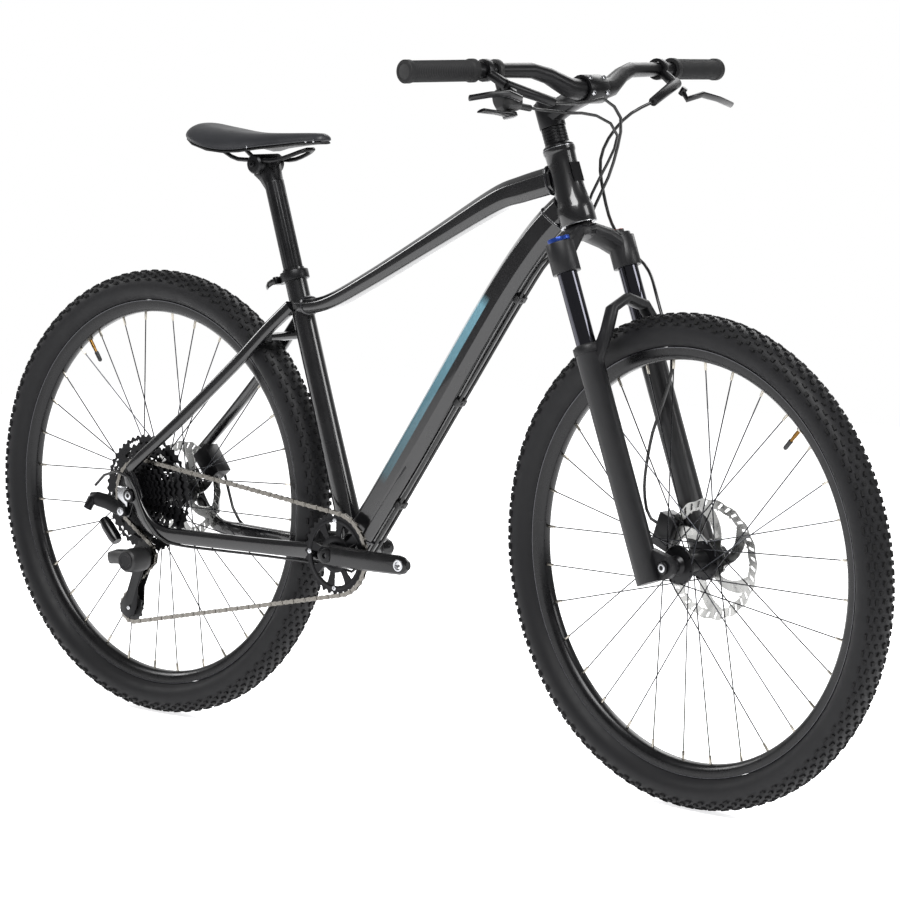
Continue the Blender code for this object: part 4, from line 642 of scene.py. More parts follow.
def down_tube_graphic(name):
    """The lacquer with a tapering stripe sprayed along the upper flank, fading from teal to pale."""
    made, tree, shader, place = begin(name, LACQUER_COAT)
    base, _ = grained(tree, shader, place, linear(bike().paint), 0.25, 0.26, 0.04, 60.0, 3.0, 0.004)
    slope = Vector((0.571, 0.0, 0.821))
    above = Vector((-0.821, 0.0, 0.571))
    low_end = BB.dot(slope)
    middle = BB.dot(above)
    lengthways, along = masked(tree, place, slope, low_end + 0.15, low_end + 0.50, 0.010)
    upper, _ = masked(tree, place, above, middle - 0.0015, middle + 0.0205, 0.0006)
    flank, _ = masked(tree, place, Vector((0, -1, 0)), 0.0135, 0.05, 0.0004)
    other, _ = masked(tree, place, Vector((0, 1, 0)), 0.0135, 0.05, 0.0004)
    sides = add(tree, "Math", {0: flank, 1: other}, operation="ADD").outputs["Value"]
    spots = add(tree, "Math", {0: lengthways, 1: upper}, operation="MULTIPLY").outputs["Value"]
    mask = add(tree, "Math", {0: spots, 1: sides}, operation="MULTIPLY").outputs["Value"]
    fade = add(
        tree, "MapRange", {"Value": along, "From Min": low_end + 0.15, "From Max": low_end + 0.50}
    ).outputs["Result"]
    tones = add(
        tree, "Mix", {0: fade, 6: linear(bike().graphic_deep), 7: linear(bike().graphic)},
        data_type="RGBA",
    ).outputs[2]
    whole = add(tree, "Mix", {0: mask, 6: base.outputs[2], 7: tones}, data_type="RGBA").outputs[2]
    tree.links.new(whole, shader.inputs["Base Color"])
    return made


MAKERS["lacquer_with_stripe"] = down_tube_graphic


def dress(piece, look, body, nodes=()):
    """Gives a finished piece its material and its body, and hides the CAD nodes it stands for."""
    piece.data.materials.clear()
    piece.data.materials.append(finish(look))
    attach(piece, body)
    if nodes:
        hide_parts(*nodes)
    return piece


def at(x, y, z):
    """A point given from the rear axle's foot, as the frame is drawn."""
    return Vector((x, y, z)) + SHIFT


class Maker(bpy.types.Operator):
    """Common ground of the operators below"""

    bl_idname = "mountain_bike.maker"
    bl_label = "Make a piece"

    def execute(self, context):
        self.make()
        return {"FINISHED"}


# ---------------------------------------------------------------- frame
HEAD_PROFILE = [
    (0.0165, 0.118), (0.0238, 0.118), (0.0245, 0.1172), (0.0245, 0.1125), (0.0240, 0.1115),
    (0.0230, 0.1085), (0.0225, 0.095), (0.0226, 0.075), (0.0234, 0.055), (0.0246, 0.040),
    (0.0262, 0.0315), (0.0274, 0.0275), (0.0280, 0.0245), (0.0280, 0.0010), (0.0274, 0.0), (0.0165, 0.0),
]
TOP_STATIONS = [
    ((0.8310, 0.0, 0.9120), 0.0205, 0.0210, 0.55, 0.50), ((0.7700, 0.0, 0.8950), 0.0203, 0.0203, 0.55, 0.50),
    ((0.7160, 0.0, 0.8770), 0.0193, 0.0183, 0.55, 0.48), ((0.6000, 0.0, 0.8160), 0.0178, 0.0148, 0.55, 0.45),
    ((0.4600, 0.0, 0.7420), 0.0178, 0.0124, 0.60, 0.42), ((0.3700, 0.0, 0.7000), 0.0188, 0.0119, 0.60, 0.42),
    ((0.3097, 0.0, 0.6907), 0.0195, 0.0124, 0.60, 0.42),
]
DOWN_STATIONS = [
    ((0.8500, 0.0, 0.8700), 0.0230, 0.0238, 0.50, 0.55), ((0.8000, 0.0, 0.8230), 0.0248, 0.0248, 0.50, 0.55),
    ((0.7200, 0.0, 0.7220), 0.0268, 0.0253, 0.50, 0.55), ((0.5600, 0.0, 0.4920), 0.0278, 0.0258, 0.50, 0.55),
    ((0.4420, 0.0, 0.3260), 0.0296, 0.0240, 0.52, 0.55),
]
SEAT_STATIONS = [
    (0.0060, 0.0198, 0.0178, 2.6), (0.0800, 0.0179, 0.0189, 2.4), (0.2400, 0.0177, 0.0179, 2.0),
    (0.4400, 0.0177, 0.0177, 2.0), (0.4519, 0.0177, 0.0177, 2.0),
]
CHAINSTAY_STATIONS = [
    ((0.4200, 0.0302, 0.312), 0.0054, 0.0166, 3.0), ((0.395, 0.0345, 0.311), 0.0057, 0.0153, 3.2),
    ((0.340, 0.0365, 0.309), 0.0059, 0.0129, 3.6), ((0.250, 0.0450, 0.308), 0.0074, 0.0119, 4.0),
    ((0.120, 0.0600, 0.308), 0.0079, 0.0119, 4.0), ((0.070, 0.0655, 0.310), 0.0074, 0.0114, 3.6),
    ((0.040, 0.0695, 0.324), 0.0059, 0.0109, 3.2), ((0.016, 0.0715, 0.352), 0.0038, 0.0109, 3.0),
    ((-0.002, 0.0715, 0.388), 0.0038, 0.0109, 3.0), ((-0.008, 0.0715, 0.402), 0.0035, 0.0090, 3.0),
]
SEATSTAY_STATIONS = [
    ((-0.006, 0.0706, 0.408), 0.0046, 0.0080, 3.0), ((0.020, 0.0690, 0.431), 0.0059, 0.0084, 3.0),
    ((0.100, 0.0580, 0.498), 0.0069, 0.0089, 3.0), ((0.200, 0.0430, 0.588), 0.0069, 0.0094, 3.0),
    ((0.262, 0.0310, 0.650), 0.0074, 0.0099, 3.0), ((0.306, 0.0200, 0.691), 0.0096, 0.0104, 3.0),
]


class BIKE_OT_head_tube(Maker):
    """Flared head tube with a bright machined ring at each end"""

    bl_idname = "mountain_bike.head_tube"
    bl_label = "Head tube"

    def make(self):
        tube_piece = smooth(turned("head_tube_shell", HEAD_PROFILE, 64, "Z"), 40)
        dress(settle(tube_piece, HEAD), "gloss_black_lacquer", "frame", ["head_tube"])
        for name, radius, height in (("head_ring_top", 0.0243, 0.1183), ("head_ring_low", 0.0278, -0.0002)):
            profile = [
                (radius - 0.004, height - 0.0004), (radius, height - 0.0004), (radius, height + 0.0004),
                (radius - 0.004, height + 0.0004),
            ]
            ring = smooth(turned(name, profile, 64, "Z"))
            dress(settle(ring, HEAD), "machined_aluminium", "frame")
        badge = block("head_badge", (0.0008, 0.022, 0.030), (0.0226, 0.0, 0.076))
        softened(badge, 0.0003)
        dress(settle(badge, HEAD), "satin_anodised_aluminium", "frame")


class BIKE_OT_main_tubes(Maker):
    """Pressed top and down tubes and the round seat tube"""

    bl_idname = "mountain_bike.main_tubes"
    bl_label = "Main tubes"

    def make(self):
        top = tube("top_tube_shell", eased([((x, y, z), *r) for (x, y, z), *r in TOP_STATIONS], 6), faceted)
        down = tube("down_tube_shell", eased(DOWN_STATIONS, 6), faceted)
        for piece, node, look in (
            (top, "top_tube", "gloss_black_lacquer"), (down, "down_tube", "lacquer_with_stripe"),
        ):
            smooth(piece, 50)
            apply_modifier(piece, "WEIGHTED_NORMAL", keep_sharp=True)
            settle(piece, Matrix.Translation(SHIFT))
            dress(piece, look, "frame", [node])
        stations = [((0.0, 0.0, distance), *rest) for distance, *rest in SEAT_STATIONS]
        seat = tube("seat_tube_shell", eased(stations, 5), squircle, 40)
        settle(smooth(seat, 40), SEAT)
        dress(seat, "gloss_black_lacquer", "frame", ["seat_tube"])


class BIKE_OT_stays(Maker):
    """Chainstays, seatstays and the dropout plates"""

    bl_idname = "mountain_bike.stays"
    bl_label = "Rear triangle"

    def make(self):
        for side, word in ((-1, "right"), (1, "left")):
            for kind, table, node in (
                ("chainstay", CHAINSTAY_STATIONS, "chainstay_"), ("seatstay", SEATSTAY_STATIONS, "seatstay_"),
            ):
                stations = [((x, side * y, z), *rest) for (x, y, z), *rest in table]
                piece = smooth(tube(f"{kind}_shell_{word}", eased(stations, 5), squircle, 28), 40)
                settle(piece, Matrix.Translation(SHIFT))
                dress(piece, "gloss_black_lacquer", "frame", [node + word])
            outline = [
                (-0.014, 0.042), (-0.018, 0.010), (-0.016, -0.012), (0.0, -0.017), (0.020, -0.014),
                (0.026, 0.0), (0.012, 0.030), (-0.002, 0.046),
            ]
            if side < 0:
                outline[2:4] = [(-0.020, -0.016), (-0.017, -0.036), (-0.004, -0.037), (0.004, -0.017)]
            rings = [
                [Vector((x, side * 0.0705 + y, z)) + HUB for x, z in outline] for y in (-0.003, 0.003)
            ]
            plate = softened(through("dropout_" + word, rings), 0.0009, 2)
            dress(smooth(plate, 30), "gloss_black_lacquer", "frame")
        hanger = block("derailleur_hanger", (0.022, 0.0050, 0.036), (-0.015, -0.0768, -0.004))
        softened(hanger, 0.0030, 3)
        settle(smooth(hanger), Matrix.Translation(HUB))
        dress(hanger, "machined_aluminium", "frame")
        ends = [(0.268, -0.030, 0.640), (0.268, 0.030, 0.640)]
        bridge = bar_between("stay_bridge", ends, [0.007, 0.007], 20)
        dress(settle(smooth(bridge), Matrix.Translation(SHIFT)), "gloss_black_lacquer", "frame")


def bead(name, centre, normal, across, half_width, half_height, power=2.6, count=44):
    """A ring of overlapping weld ripples round a tube's end."""
    normal = Vector(normal).normalized()
    radius = bpy.context.scene.bike_sizes.weld_bead
    path = squircle(Vector(centre), normal, across, half_width, half_height, power, count * 2)
    rings = []
    for index, point in enumerate(path + path[:1]):
        after, before = path[(index + 1) % len(path)], path[(index - 1) % len(path)]
        thick = radius * (1.0 if index % 2 == 0 else 0.86)
        rings.append(round_ring(point, (after - before).normalized(), tuple(normal), thick, 8))
    return smooth(through(name, rings), 60)


class BIKE_OT_welds(Maker):
    """Weld beads round the ends of the tubes"""

    bl_idname = "mountain_bike.welds"
    bl_label = "Welds"

    def make(self):
        slope = Vector((0.571, 0.0, 0.821))
        beads = [
            bead("weld_top", (0.8235, 0.0, 0.9100), (0.96, 0, 0.28), (0, 1, 0), 0.0205, 0.0212, 3.2),
            bead("weld_down", (0.8330, 0.0, 0.8540), slope, (0, 1, 0), 0.0235, 0.0245, 3.2),
            bead("weld_seat_top", (0.3270, 0.0, 0.6930), (1, 0, 0.2), (0, 1, 0), 0.0190, 0.0128, 3.0),
            bead("weld_bracket", (0.4550, 0.0, 0.3440), slope, (0, 1, 0), 0.0298, 0.0245, 3.4),
            bead("weld_seat_low", (0.4256, 0.0, 0.3330), UP_SEAT, (0, 1, 0), 0.0196, 0.0186, 2.6),
        ]
        for piece in beads:
            dress(settle(piece, Matrix.Translation(SHIFT)), "weld_bead", "frame")


class BIKE_OT_bracket(Maker):
    """Bottom bracket shell and its two bearing cups with their tool notches"""

    bl_idname = "mountain_bike.bracket"
    bl_label = "Bottom bracket"

    def make(self):
        shell = [
            (0.0126, -0.0366), (0.0210, -0.0366), (0.0215, -0.0355), (0.0215, 0.0355), (0.0210, 0.0366),
            (0.0126, 0.0366),
        ]
        piece = settle(smooth(turned("bracket_shell", shell, 48)), CRANK)
        dress(piece, "gloss_black_lacquer", "frame", ["bottom_bracket"])
        for side, word in ((-1, "right"), (1, "left")):
            near, far = side * 0.0366, side * 0.0425
            cup = turned(
                "bracket_cup_" + word, [(0.0126, near), (0.0212, near), (0.0208, far), (0.0126, far)], 48
            )
            softened(cup, 0.0006)
            notch = block("notch", (0.0022, 0.0058, 0.0030), (0.0, (near + far) / 2, 0.0205))
            notches = repeated(notch, 16)
            cup = joined("bracket_cup_" + word, [cup, notches])
            dress(settle(smooth(cup), CRANK), "satin_anodised_aluminium", "frame")


CLIP_PLACES = (0.738, 0.621, 0.503)


class BIKE_OT_guides(Maker):
    """Clips that hold the hose and the housing under the down tube"""

    bl_idname = "mountain_bike.guides"
    bl_label = "Cable clips"

    def make(self):
        slope = math.atan2(0.230, 0.160)
        below = Vector((math.sin(slope), 0.0, -math.cos(slope)))
        turn = Matrix.Rotation(-slope, 4, "Y")
        for number, x in enumerate(CLIP_PLACES):
            upper, lower = ((0.7200, 0.7220), (0.5600, 0.4920)) if x < 0.72 else ((0.8, 0.823), (0.72, 0.722))
            share = (x - lower[0]) / (upper[0] - lower[0])
            middle = at(x, 0.0, lower[1] + share * (upper[1] - lower[1])) + below * 0.0276
            clip = block("clip", (0.0120, 0.0222, 0.0100), middle, turn=turn)
            softened(clip, 0.0022, 3)
            screw = bolt("screw", 0.0028, 0.0030, middle + below * 0.0045, below)
            piece = joined(f"cable_clip_{number + 1}", [smooth(clip), screw])
            dress(piece, "moulded_nylon", "frame")


class BIKE_OT_seat(Maker):
    """Seat post, its clamp and quick-release lever, and the saddle's clamp and rails"""

    bl_idname = "mountain_bike.seat"
    bl_label = "Seat post and clamp"

    def make(self):
        for node, body, look, bevel in (
            ("seat_clamp", "frame", "satin_anodised_aluminium", 0.0009),
            ("seat_clamp_lever", "clamp_lever", "polished_black_alloy", 0.0006),
            ("saddle_rails", "saddle", "satin_anodised_aluminium", 0.0),
            ("rail_clamp", "saddle", "satin_anodised_aluminium", 0.0007),
        ):
            piece = from_cad(node + "_made", node, bevel, 60 if node == "saddle_rails" else 35)
            dress(piece, look, body, [node])
        low, high = 0.452 - 0.135, 0.612
        top = high - 0.012
        profile = [(0.0, low), (0.0150, low), (0.0157, low + 0.001), (0.0157, top), (0.0, top)]
        post = smooth(turned("post_tube", profile, 56, "Z"))
        head = from_cad("post_head", "seat_post", 0.0012)
        whole = joined("seat_post_made", [settle(post, SEAT), head])
        dress(whole, "satin_anodised_aluminium", "seat_post", ["seat_post"])
        axis = SEAT @ Matrix.Translation((-0.009, 0.0, 0.634)) @ Matrix.Rotation(-SEAT_LEAN, 4, "Y")
        for side, word in ((-1, "right"), (1, "left")):
            profile = [(0.0, side * 0.0255), (0.0152, side * 0.0255), (0.0156, side * 0.0262),
                       (0.0130, side * 0.0290), (0.0060, side * 0.0296), (0.0, side * 0.0296)]
            disc = smooth(turned("clamp_disc_" + word, profile, 40))
            hexagon = bolt("clamp_bolt_" + word, 0.0048, 0.006, (0, side * 0.0300, 0), (0, side, 0))
            piece = joined("clamp_disc_" + word, [disc, hexagon])
            dress(settle(piece, axis), "satin_anodised_aluminium", "saddle")


SADDLE_SECTIONS = [
    (-0.1368, 0.026, 0.0520, 0.0050, 0.003), (-0.1340, 0.043, 0.0512, 0.0100, 0.005),
    (-0.1240, 0.058, 0.0500, 0.0120, 0.009), (-0.1040, 0.0675, 0.0468, 0.0126, 0.0135),
    (-0.0685, 0.0700, 0.0430, 0.0130, 0.018), (-0.0400, 0.0620, 0.0402, 0.0126, 0.018),
    (-0.0135, 0.0510, 0.0390, 0.0120, 0.0150), (0.0140, 0.0390, 0.0392, 0.0117, 0.0100),
    (0.0415, 0.0296, 0.0400, 0.0115, 0.0070), (0.0700, 0.0240, 0.0415, 0.0108, 0.0048),
    (0.0965, 0.0198, 0.0430, 0.0100, 0.0030), (0.1230, 0.0172, 0.0440, 0.0088, 0.0020),
    (0.1310, 0.0125, 0.0434, 0.0066, 0.0010), (0.1333, 0.0060, 0.0430, 0.0030, 0.0005),
]


class BIKE_OT_saddle(Maker):
    """Padded saddle with a relief channel, its shell and rivets"""

    bl_idname = "mountain_bike.saddle"
    bl_label = "Saddle"

    def make(self):
        axis = SEAT @ Matrix.Translation((-0.009, 0.0, 0.634)) @ Matrix.Rotation(-SEAT_LEAN, 4, "Y")
        rings = []
        for x, half_width, middle, half_height, hang in SADDLE_SECTIONS:
            ring = []
            for step in range(32):
                turn = 2 * math.pi * (step + 0.5) / 32
                across = math.copysign(abs(math.cos(turn)) ** 0.8, math.cos(turn))
                lift = math.sin(turn)
                channel = 0.0
                if lift > 0 and abs(across) < 0.34 and -0.115 < x < 0.10:
                    channel = 0.0035 * math.cos(across / 0.34 * math.pi / 2) ** 2
                tall = half_height * (1.0 if lift > 0 else 0.62)
                ring.append(Vector(
                    (x, half_width * across, middle + tall * lift - hang * across * across - channel)
                ))
            rings.append(ring)
        pad = through("saddle_pad", rings)
        apply_modifier(pad, "SUBSURF", levels=2, render_levels=2)
        settle(smooth(pad, 60), axis)
        dress(pad, "saddle_cover", "saddle", ["saddle"])
        under = []
        for x, half_width, middle, half_height, hang in SADDLE_SECTIONS[1:-1]:
            ring = []
            for step in range(24):
                turn = 2 * math.pi * (step + 0.5) / 24
                across = math.cos(turn)
                lift = math.sin(turn)
                height = middle - 0.0055 + 0.45 * half_height * lift - hang * across * across * 0.98
                ring.append(Vector((x * 0.985, half_width * 0.955 * across, height)))
            under.append(ring)
        shell = settle(smooth(through("saddle_shell", under), 50), axis)
        dress(shell, "moulded_nylon", "saddle")
        rivets = []
        for side in (-1, 1):
            for x, y, z in ((0.119, 0.0168, 0.0398), (0.104, 0.0182, 0.0390), (0.0, 0.0440, 0.0275)):
                rivets.append(bolt("rivet", 0.0021, 0.0016, (x, side * y, z), (0, side, -0.1), 0.3))
        rivets = settle(joined("saddle_rivets", rivets), axis)
        dress(rivets, "machined_aluminium", "saddle")


# ---------------------------------------------------------------- drive
# The cranks stand this many degrees off level.
CRANK_TILT = 1.6
CRANK_LENGTH = 0.170


class BIKE_OT_cranks(Maker):
    """Forged crank arms with a bevelled face, the pedal inserts and the centre bolt"""

    bl_idname = "mountain_bike.cranks"
    bl_label = "Cranks"

    def make(self):
        tilt = math.radians(CRANK_TILT)
        for side, word, turn in ((-1, "right", -tilt), (1, "left", math.pi - tilt)):
            piece = from_cad("crank_arm_" + word, "crank_" + word, 0.0014, 30)
            apply_modifier(piece, "WEIGHTED_NORMAL", keep_sharp=True)
            dress(piece, "polished_black_alloy", "cranks", ["crank_" + word])
            frame_of_arm = CRANK @ Matrix.Rotation(turn, 4, "Y")
            ring = turned(
                "pedal_insert_" + word,
                [(0.0060, side * 0.0918), (0.0094, side * 0.0918), (0.0094, side * 0.0800),
                 (0.0060, side * 0.0800)],
                36,
            )
            softened(ring, 0.0005)
            settle(smooth(ring), frame_of_arm @ Matrix.Translation((CRANK_LENGTH, 0.0, 0.0)))
            dress(ring, "machined_aluminium", "cranks")
            cap = bolt("crank_bolt_" + word, 0.0115, 0.0060, (0, side * 0.0705, 0), (0, side, 0), 0.45)
            dress(settle(cap, CRANK), "satin_anodised_aluminium", "cranks")


def toothed(pitch_radius, teeth, depth):
    """The radius of a toothed edge at an angle, for a chain that lies on the pitch circle."""
    def outer(turn):
        wave = math.cos(turn * teeth)
        return pitch_radius + depth * (0.15 + 0.85 * (abs(wave) ** 0.8) * (1 if wave > 0 else -0.9))
    return outer


class BIKE_OT_chainring(Maker):
    """Single chainring with its spider windows and bolts"""

    bl_idname = "mountain_bike.chainring"
    bl_label = "Chainring"

    def make(self):
        def keep(turn, share, radius):
            if radius < 0.0288 or radius > 0.0505:
                return True
            place = (math.degrees(turn) - 12 + 22.5) % 45 - 22.5
            return abs(place) > 14.5 - 90 * abs(radius - 0.0395)
        ring = polar_plate("chainring_plate", 0.0186, toothed(0.0612, 32, 0.0030), keep, 384, 22, 0.0022)
        step = [(0.0500, -0.0018), (0.0560, -0.0018), (0.0560, 0.0018), (0.0500, 0.0018)]
        rail = softened(turned("chainring_rail", step, 96), 0.0004)
        boss = [(0.0186, -0.0024), (0.0292, -0.0024), (0.0292, 0.0024), (0.0186, 0.0024)]
        hub = softened(turned("chainring_boss", boss, 64), 0.0005)
        whole = joined("chainring_made", [ring, rail, hub])
        settle(smooth(whole), Matrix.Translation(BB + Vector((0, CHAIN_Y, 0))))
        dress(whole, "black_oxide_steel", "cranks", ["chainring"])
        screw = bolt("ring_bolt", 0.0040, 0.0024, (0.0, -0.0020, 0.0533), (0, -1, 0))
        screws = repeated(screw, 4)
        settle(screws, Matrix.Translation(BB + Vector((0, CHAIN_Y, 0))))
        dress(screws, "machined_aluminium", "cranks")


CHAINRING_PITCH = 0.0648
PULLEY_PITCH = 0.0243
COG_PITCH = 0.0567
GUIDE_PULLEY = Vector((0.006, 0.267))
TENSION_PULLEY = Vector((-0.020, 0.177))


def belt(circles):
    """Straight runs and arcs round (centre, radius, sense) wheels, as a dense closed line of (x, z)."""
    tangents = []
    for (one, r_one, s_one), (two, r_two, s_two) in zip(circles, circles[1:] + circles[:1]):
        reach = two - one
        share = (s_one * r_one - s_two * r_two) / reach.length
        aside = Vector((reach.y, -reach.x)) / reach.length
        normal = reach / reach.length * share + aside * math.sqrt(1 - share * share)
        tangents.append((one + normal * s_one * r_one, two + normal * s_two * r_two))
    line = []
    for index, (centre, radius, _) in enumerate(circles):
        arrive = tangents[index - 1][1] - centre
        leave = tangents[index][0] - centre
        incoming = tangents[index - 1][1] - tangents[index - 1][0]
        turn = 1 if arrive.x * incoming.y - arrive.y * incoming.x > 0 else -1
        begin_at = math.atan2(arrive.y, arrive.x)
        sweep = (turn * (math.atan2(leave.y, leave.x) - begin_at)) % (2 * math.pi)
        for step in range(49):
            angle = begin_at + turn * sweep * step / 48
            line.append(centre + Vector((math.cos(angle), math.sin(angle))) * radius)
    return line


class BIKE_OT_chain(Maker):
    """Roller chain: inner and outer links in turn, with their pins and rollers"""

    bl_idname = "mountain_bike.chain"
    bl_label = "Chain"

    def make(self):
        foot = Vector((SHIFT.x, 0.0))
        line = belt([
            (Vector((BB.x, BB.z)), CHAINRING_PITCH, -1), (foot + TENSION_PULLEY, PULLEY_PITCH, -1),
            (foot + GUIDE_PULLEY, PULLEY_PITCH, 1), (Vector((HUB.x, HUB.z)), COG_PITCH, -1),
        ])
        lengths = [0.0]
        for one, two in zip(line, line[1:] + line[:1]):
            lengths.append(lengths[-1] + (two - one).length)
        count = 2 * round(lengths[-1] / bpy.context.scene.bike_sizes.chain_pitch / 2)
        pins = []
        spot = 0
        for number in range(count):
            wanted = lengths[-1] * number / count
            while lengths[spot + 1] < wanted:
                spot += 1
            share = (wanted - lengths[spot]) / max(lengths[spot + 1] - lengths[spot], 1e-9)
            pins.append(line[spot].lerp(line[(spot + 1) % len(line)], share))
        half = bpy.context.scene.bike_sizes.chain_pitch / 2
        kinds = []
        for name, y in (("inner_link", 0.0014), ("outer_link", 0.0022)):
            outline = []
            for end, first in ((1, -70), (-1, 110)):
                for step in range(6):
                    angle = math.radians(first + 28 * step)
                    outline.append((end * half + 0.0040 * math.cos(angle), 0.0040 * math.sin(angle)))
            outline.insert(6, (0.0, 0.0026))
            outline.append((0.0, -0.0026))
            plates = []
            for side in (-1, 1):
                rings = [
                    [Vector((x, side * y + layer, z)) for x, z in outline] for layer in (-0.0004, 0.0004)
                ]
                plates.append(through("plate", rings))
            pin = bar_between("pin", [(half, -0.0029, 0), (half, 0.0029, 0)], [0.0017, 0.0017], 8, (0, 0, 1))
            roller = bar_between(
                "roller", [(half, -0.0010, 0), (half, 0.0010, 0)], [0.0036, 0.0036], 10, (0, 0, 1)
            )
            kinds.append(joined(name, [*plates, pin, roller]))
        links = []
        for number, pin in enumerate(pins):
            after = pins[(number + 1) % count]
            along = (after - pin).normalized()
            middle = (pin + after) / 2
            source = kinds[number % 2]
            link = source.copy()
            link.data = source.data.copy()
            bpy.context.scene.collection.objects.link(link)
            x_axis = Vector((along.x, 0.0, along.y))
            z_axis = Vector((-along.y, 0.0, along.x))
            link.matrix_world = Matrix.Translation((middle.x, CHAIN_Y, middle.y)) @ Matrix(
                (x_axis, (0, 1, 0), z_axis)
            ).transposed().to_4x4()
            links.append(link)
        for source in kinds:
            bpy.data.objects.remove(source)
        bpy.context.view_layer.update()
        chain = joined("chain_made", links)
        bpy.ops.object.transform_apply(location=True, rotation=True, scale=True)
        dress(smooth(chain, 30), "oiled_chain_steel", "frame", ["chain"])


COG_TEETH = (48, 42, 36, 32, 28, 24, 21, 18, 15, 12)
CHAIN_COG = 4
COG_SPACING = 0.0036


class BIKE_OT_cassette(Maker):
    """Ten toothed cogs, the large ones lightened with slots, on a slim spider"""

    bl_idname = "mountain_bike.cassette"
    bl_label = "Cassette"

    def make(self):
        cogs = []
        for index, teeth in enumerate(COG_TEETH):
            pitch = COG_PITCH * teeth / COG_TEETH[CHAIN_COG]
            if index <= 2:
                pitch = 0.00202 * teeth
            inner = max(pitch - 0.024, 0.0112)
            root = pitch - 0.0046

            def keep(turn, share, radius, root=root, inner=inner, index=index):
                if index > 4 or radius > root - 0.0040 or radius < inner + 0.0035:
                    return True
                lobes = 11 if index % 2 else 9
                twist = turn * lobes + (radius - inner) * 90
                return math.cos(twist) < 0.25
            cog = polar_plate(
                f"cog_{teeth}", inner, toothed(pitch - 0.0030, teeth, 0.0026), keep, teeth * 7, 10, 0.0016
            )
            settle(cog, Matrix.Translation((0, CHAIN_Y + (CHAIN_COG - index) * COG_SPACING, 0)))
            cogs.append(cog)
        far, near = CHAIN_Y + CHAIN_COG * COG_SPACING, CHAIN_Y - (9 - CHAIN_COG) * COG_SPACING
        core = softened(turned("cassette_core", [
            (0.0110, far), (0.0250, far), (0.0250, far - 0.0160), (0.0190, near + 0.0050),
            (0.0160, near - 0.0008), (0.0110, near - 0.0008),
        ], 48), 0.0004)
        arm = through("spider_arm", [
            [Vector((x, y, z)) for x, z in ((-0.0030, radius), (0.0030, radius)) for y in
             ((spread, spread - 0.0030) if x < 0 else (spread - 0.0030, spread))]
            for radius, spread in ((0.0240, far - 0.0080), (0.0700, far - 0.0012))
        ])
        arms = repeated(arm, 6)
        whole = joined("cassette_made", [*cogs, core, arms])
        settle(smooth(whole, 30), REAR_AXLE)
        dress(whole, "black_oxide_steel", "cassette", ["cassette"])
        ring = [(0.0112, near - 0.0006), (0.0152, near - 0.0006), (0.0152, near - 0.0022),
                (0.0112, near - 0.0022)]
        lock = softened(turned("cassette_lock_ring", ring, 48), 0.0004)
        dress(settle(smooth(lock), REAR_AXLE), "machined_aluminium", "cassette")


class BIKE_OT_derailleur(Maker):
    """Rear derailleur: knuckle, link, clutch drum, cage and toothed pulleys"""

    bl_idname = "mountain_bike.derailleur"
    bl_label = "Rear derailleur"

    def make(self):
        for node, look, bevel in (
            ("derailleur_body", "black_oxide_steel", 0.0010),
            ("derailleur_link", "polished_black_alloy", 0.0),
            ("derailleur_clutch", "moulded_nylon", 0.0010), ("derailleur_cage", "black_oxide_steel", 0.0004),
        ):
            piece = from_cad(node + "_made", node, bevel, 40)
            dress(piece, look, node, [node])
        drum = at(0.0165, -0.0850, 0.262)
        cover = turned(
            "clutch_cover",
            [(0.0, -0.0158), (0.0098, -0.0158), (0.0104, -0.0164), (0.0150, -0.0166), (0.0154, -0.0156),
             (0.0154, -0.0150), (0.0, -0.0150)], 48,
        )
        dress(settle(smooth(cover), Matrix.Translation(drum)), "satin_anodised_aluminium",
              "derailleur_clutch")
        knuckle = at(-0.010, -0.0862, 0.340)
        head = bolt("hanger_bolt", 0.0072, 0.0030, knuckle, (0, -1, 0), 0.55)
        dress(head, "machined_aluminium", "derailleur_body")
        for name, spot in (("guide_pulley", GUIDE_PULLEY), ("tension_pulley", TENSION_PULLEY)):
            def keep(turn, share, radius):
                return not (0.0095 < radius < 0.0140 and math.cos(turn * 6) > 0.2)
            wheel = polar_plate(name + "_made", 0.0033, toothed(0.0222, 12, 0.0026), keep, 96, 12, 0.0020)
            place = Matrix.Translation((SHIFT.x + spot.x, CHAIN_Y, spot.y))
            dress(settle(smooth(wheel, 30), place), "moulded_nylon", name, [name])
            screw = bolt(name + "_bolt", 0.0036, 0.0022, (0, -0.0098, 0), (0, -1, 0))
            dress(settle(screw, place), "machined_aluminium", "derailleur_cage")


# ---------------------------------------------------------------- wheels
WHEELS = (
    ("rear", "rear_wheel", REAR_AXLE, 7.65, 125.8, 0.034, -0.021),
    ("front", "front_wheel", FRONT_AXLE, 7.15, 46.5, 0.022, -0.031),
)
CASING = [
    (0.3166, 0.0098), (0.3164, 0.0126), (0.3180, 0.0142), (0.3205, 0.0180), (0.3240, 0.0216),
    (0.3290, 0.0250), (0.3350, 0.0267), (0.3410, 0.0268), (0.3465, 0.0258), (0.3515, 0.0238),
    (0.3560, 0.0205), (0.3596, 0.0160), (0.3616, 0.0100), (0.3624, 0.0040),
]


def knob(name, y, reach, size, lean, twist):
    """One tread block standing on the casing, square to it."""
    turn = Matrix.Rotation(-lean, 4, "X") @ Matrix.Rotation(twist, 4, "Z")
    height = bpy.context.scene.bike_sizes.knob_height
    centre = Vector((0.0, y, reach)) + Matrix.Rotation(-lean, 3, "X") @ Vector((0, 0, height / 2 - 0.0010))
    return block(name, (size[0], size[1], height + 0.0016), centre, 0.78, turn)


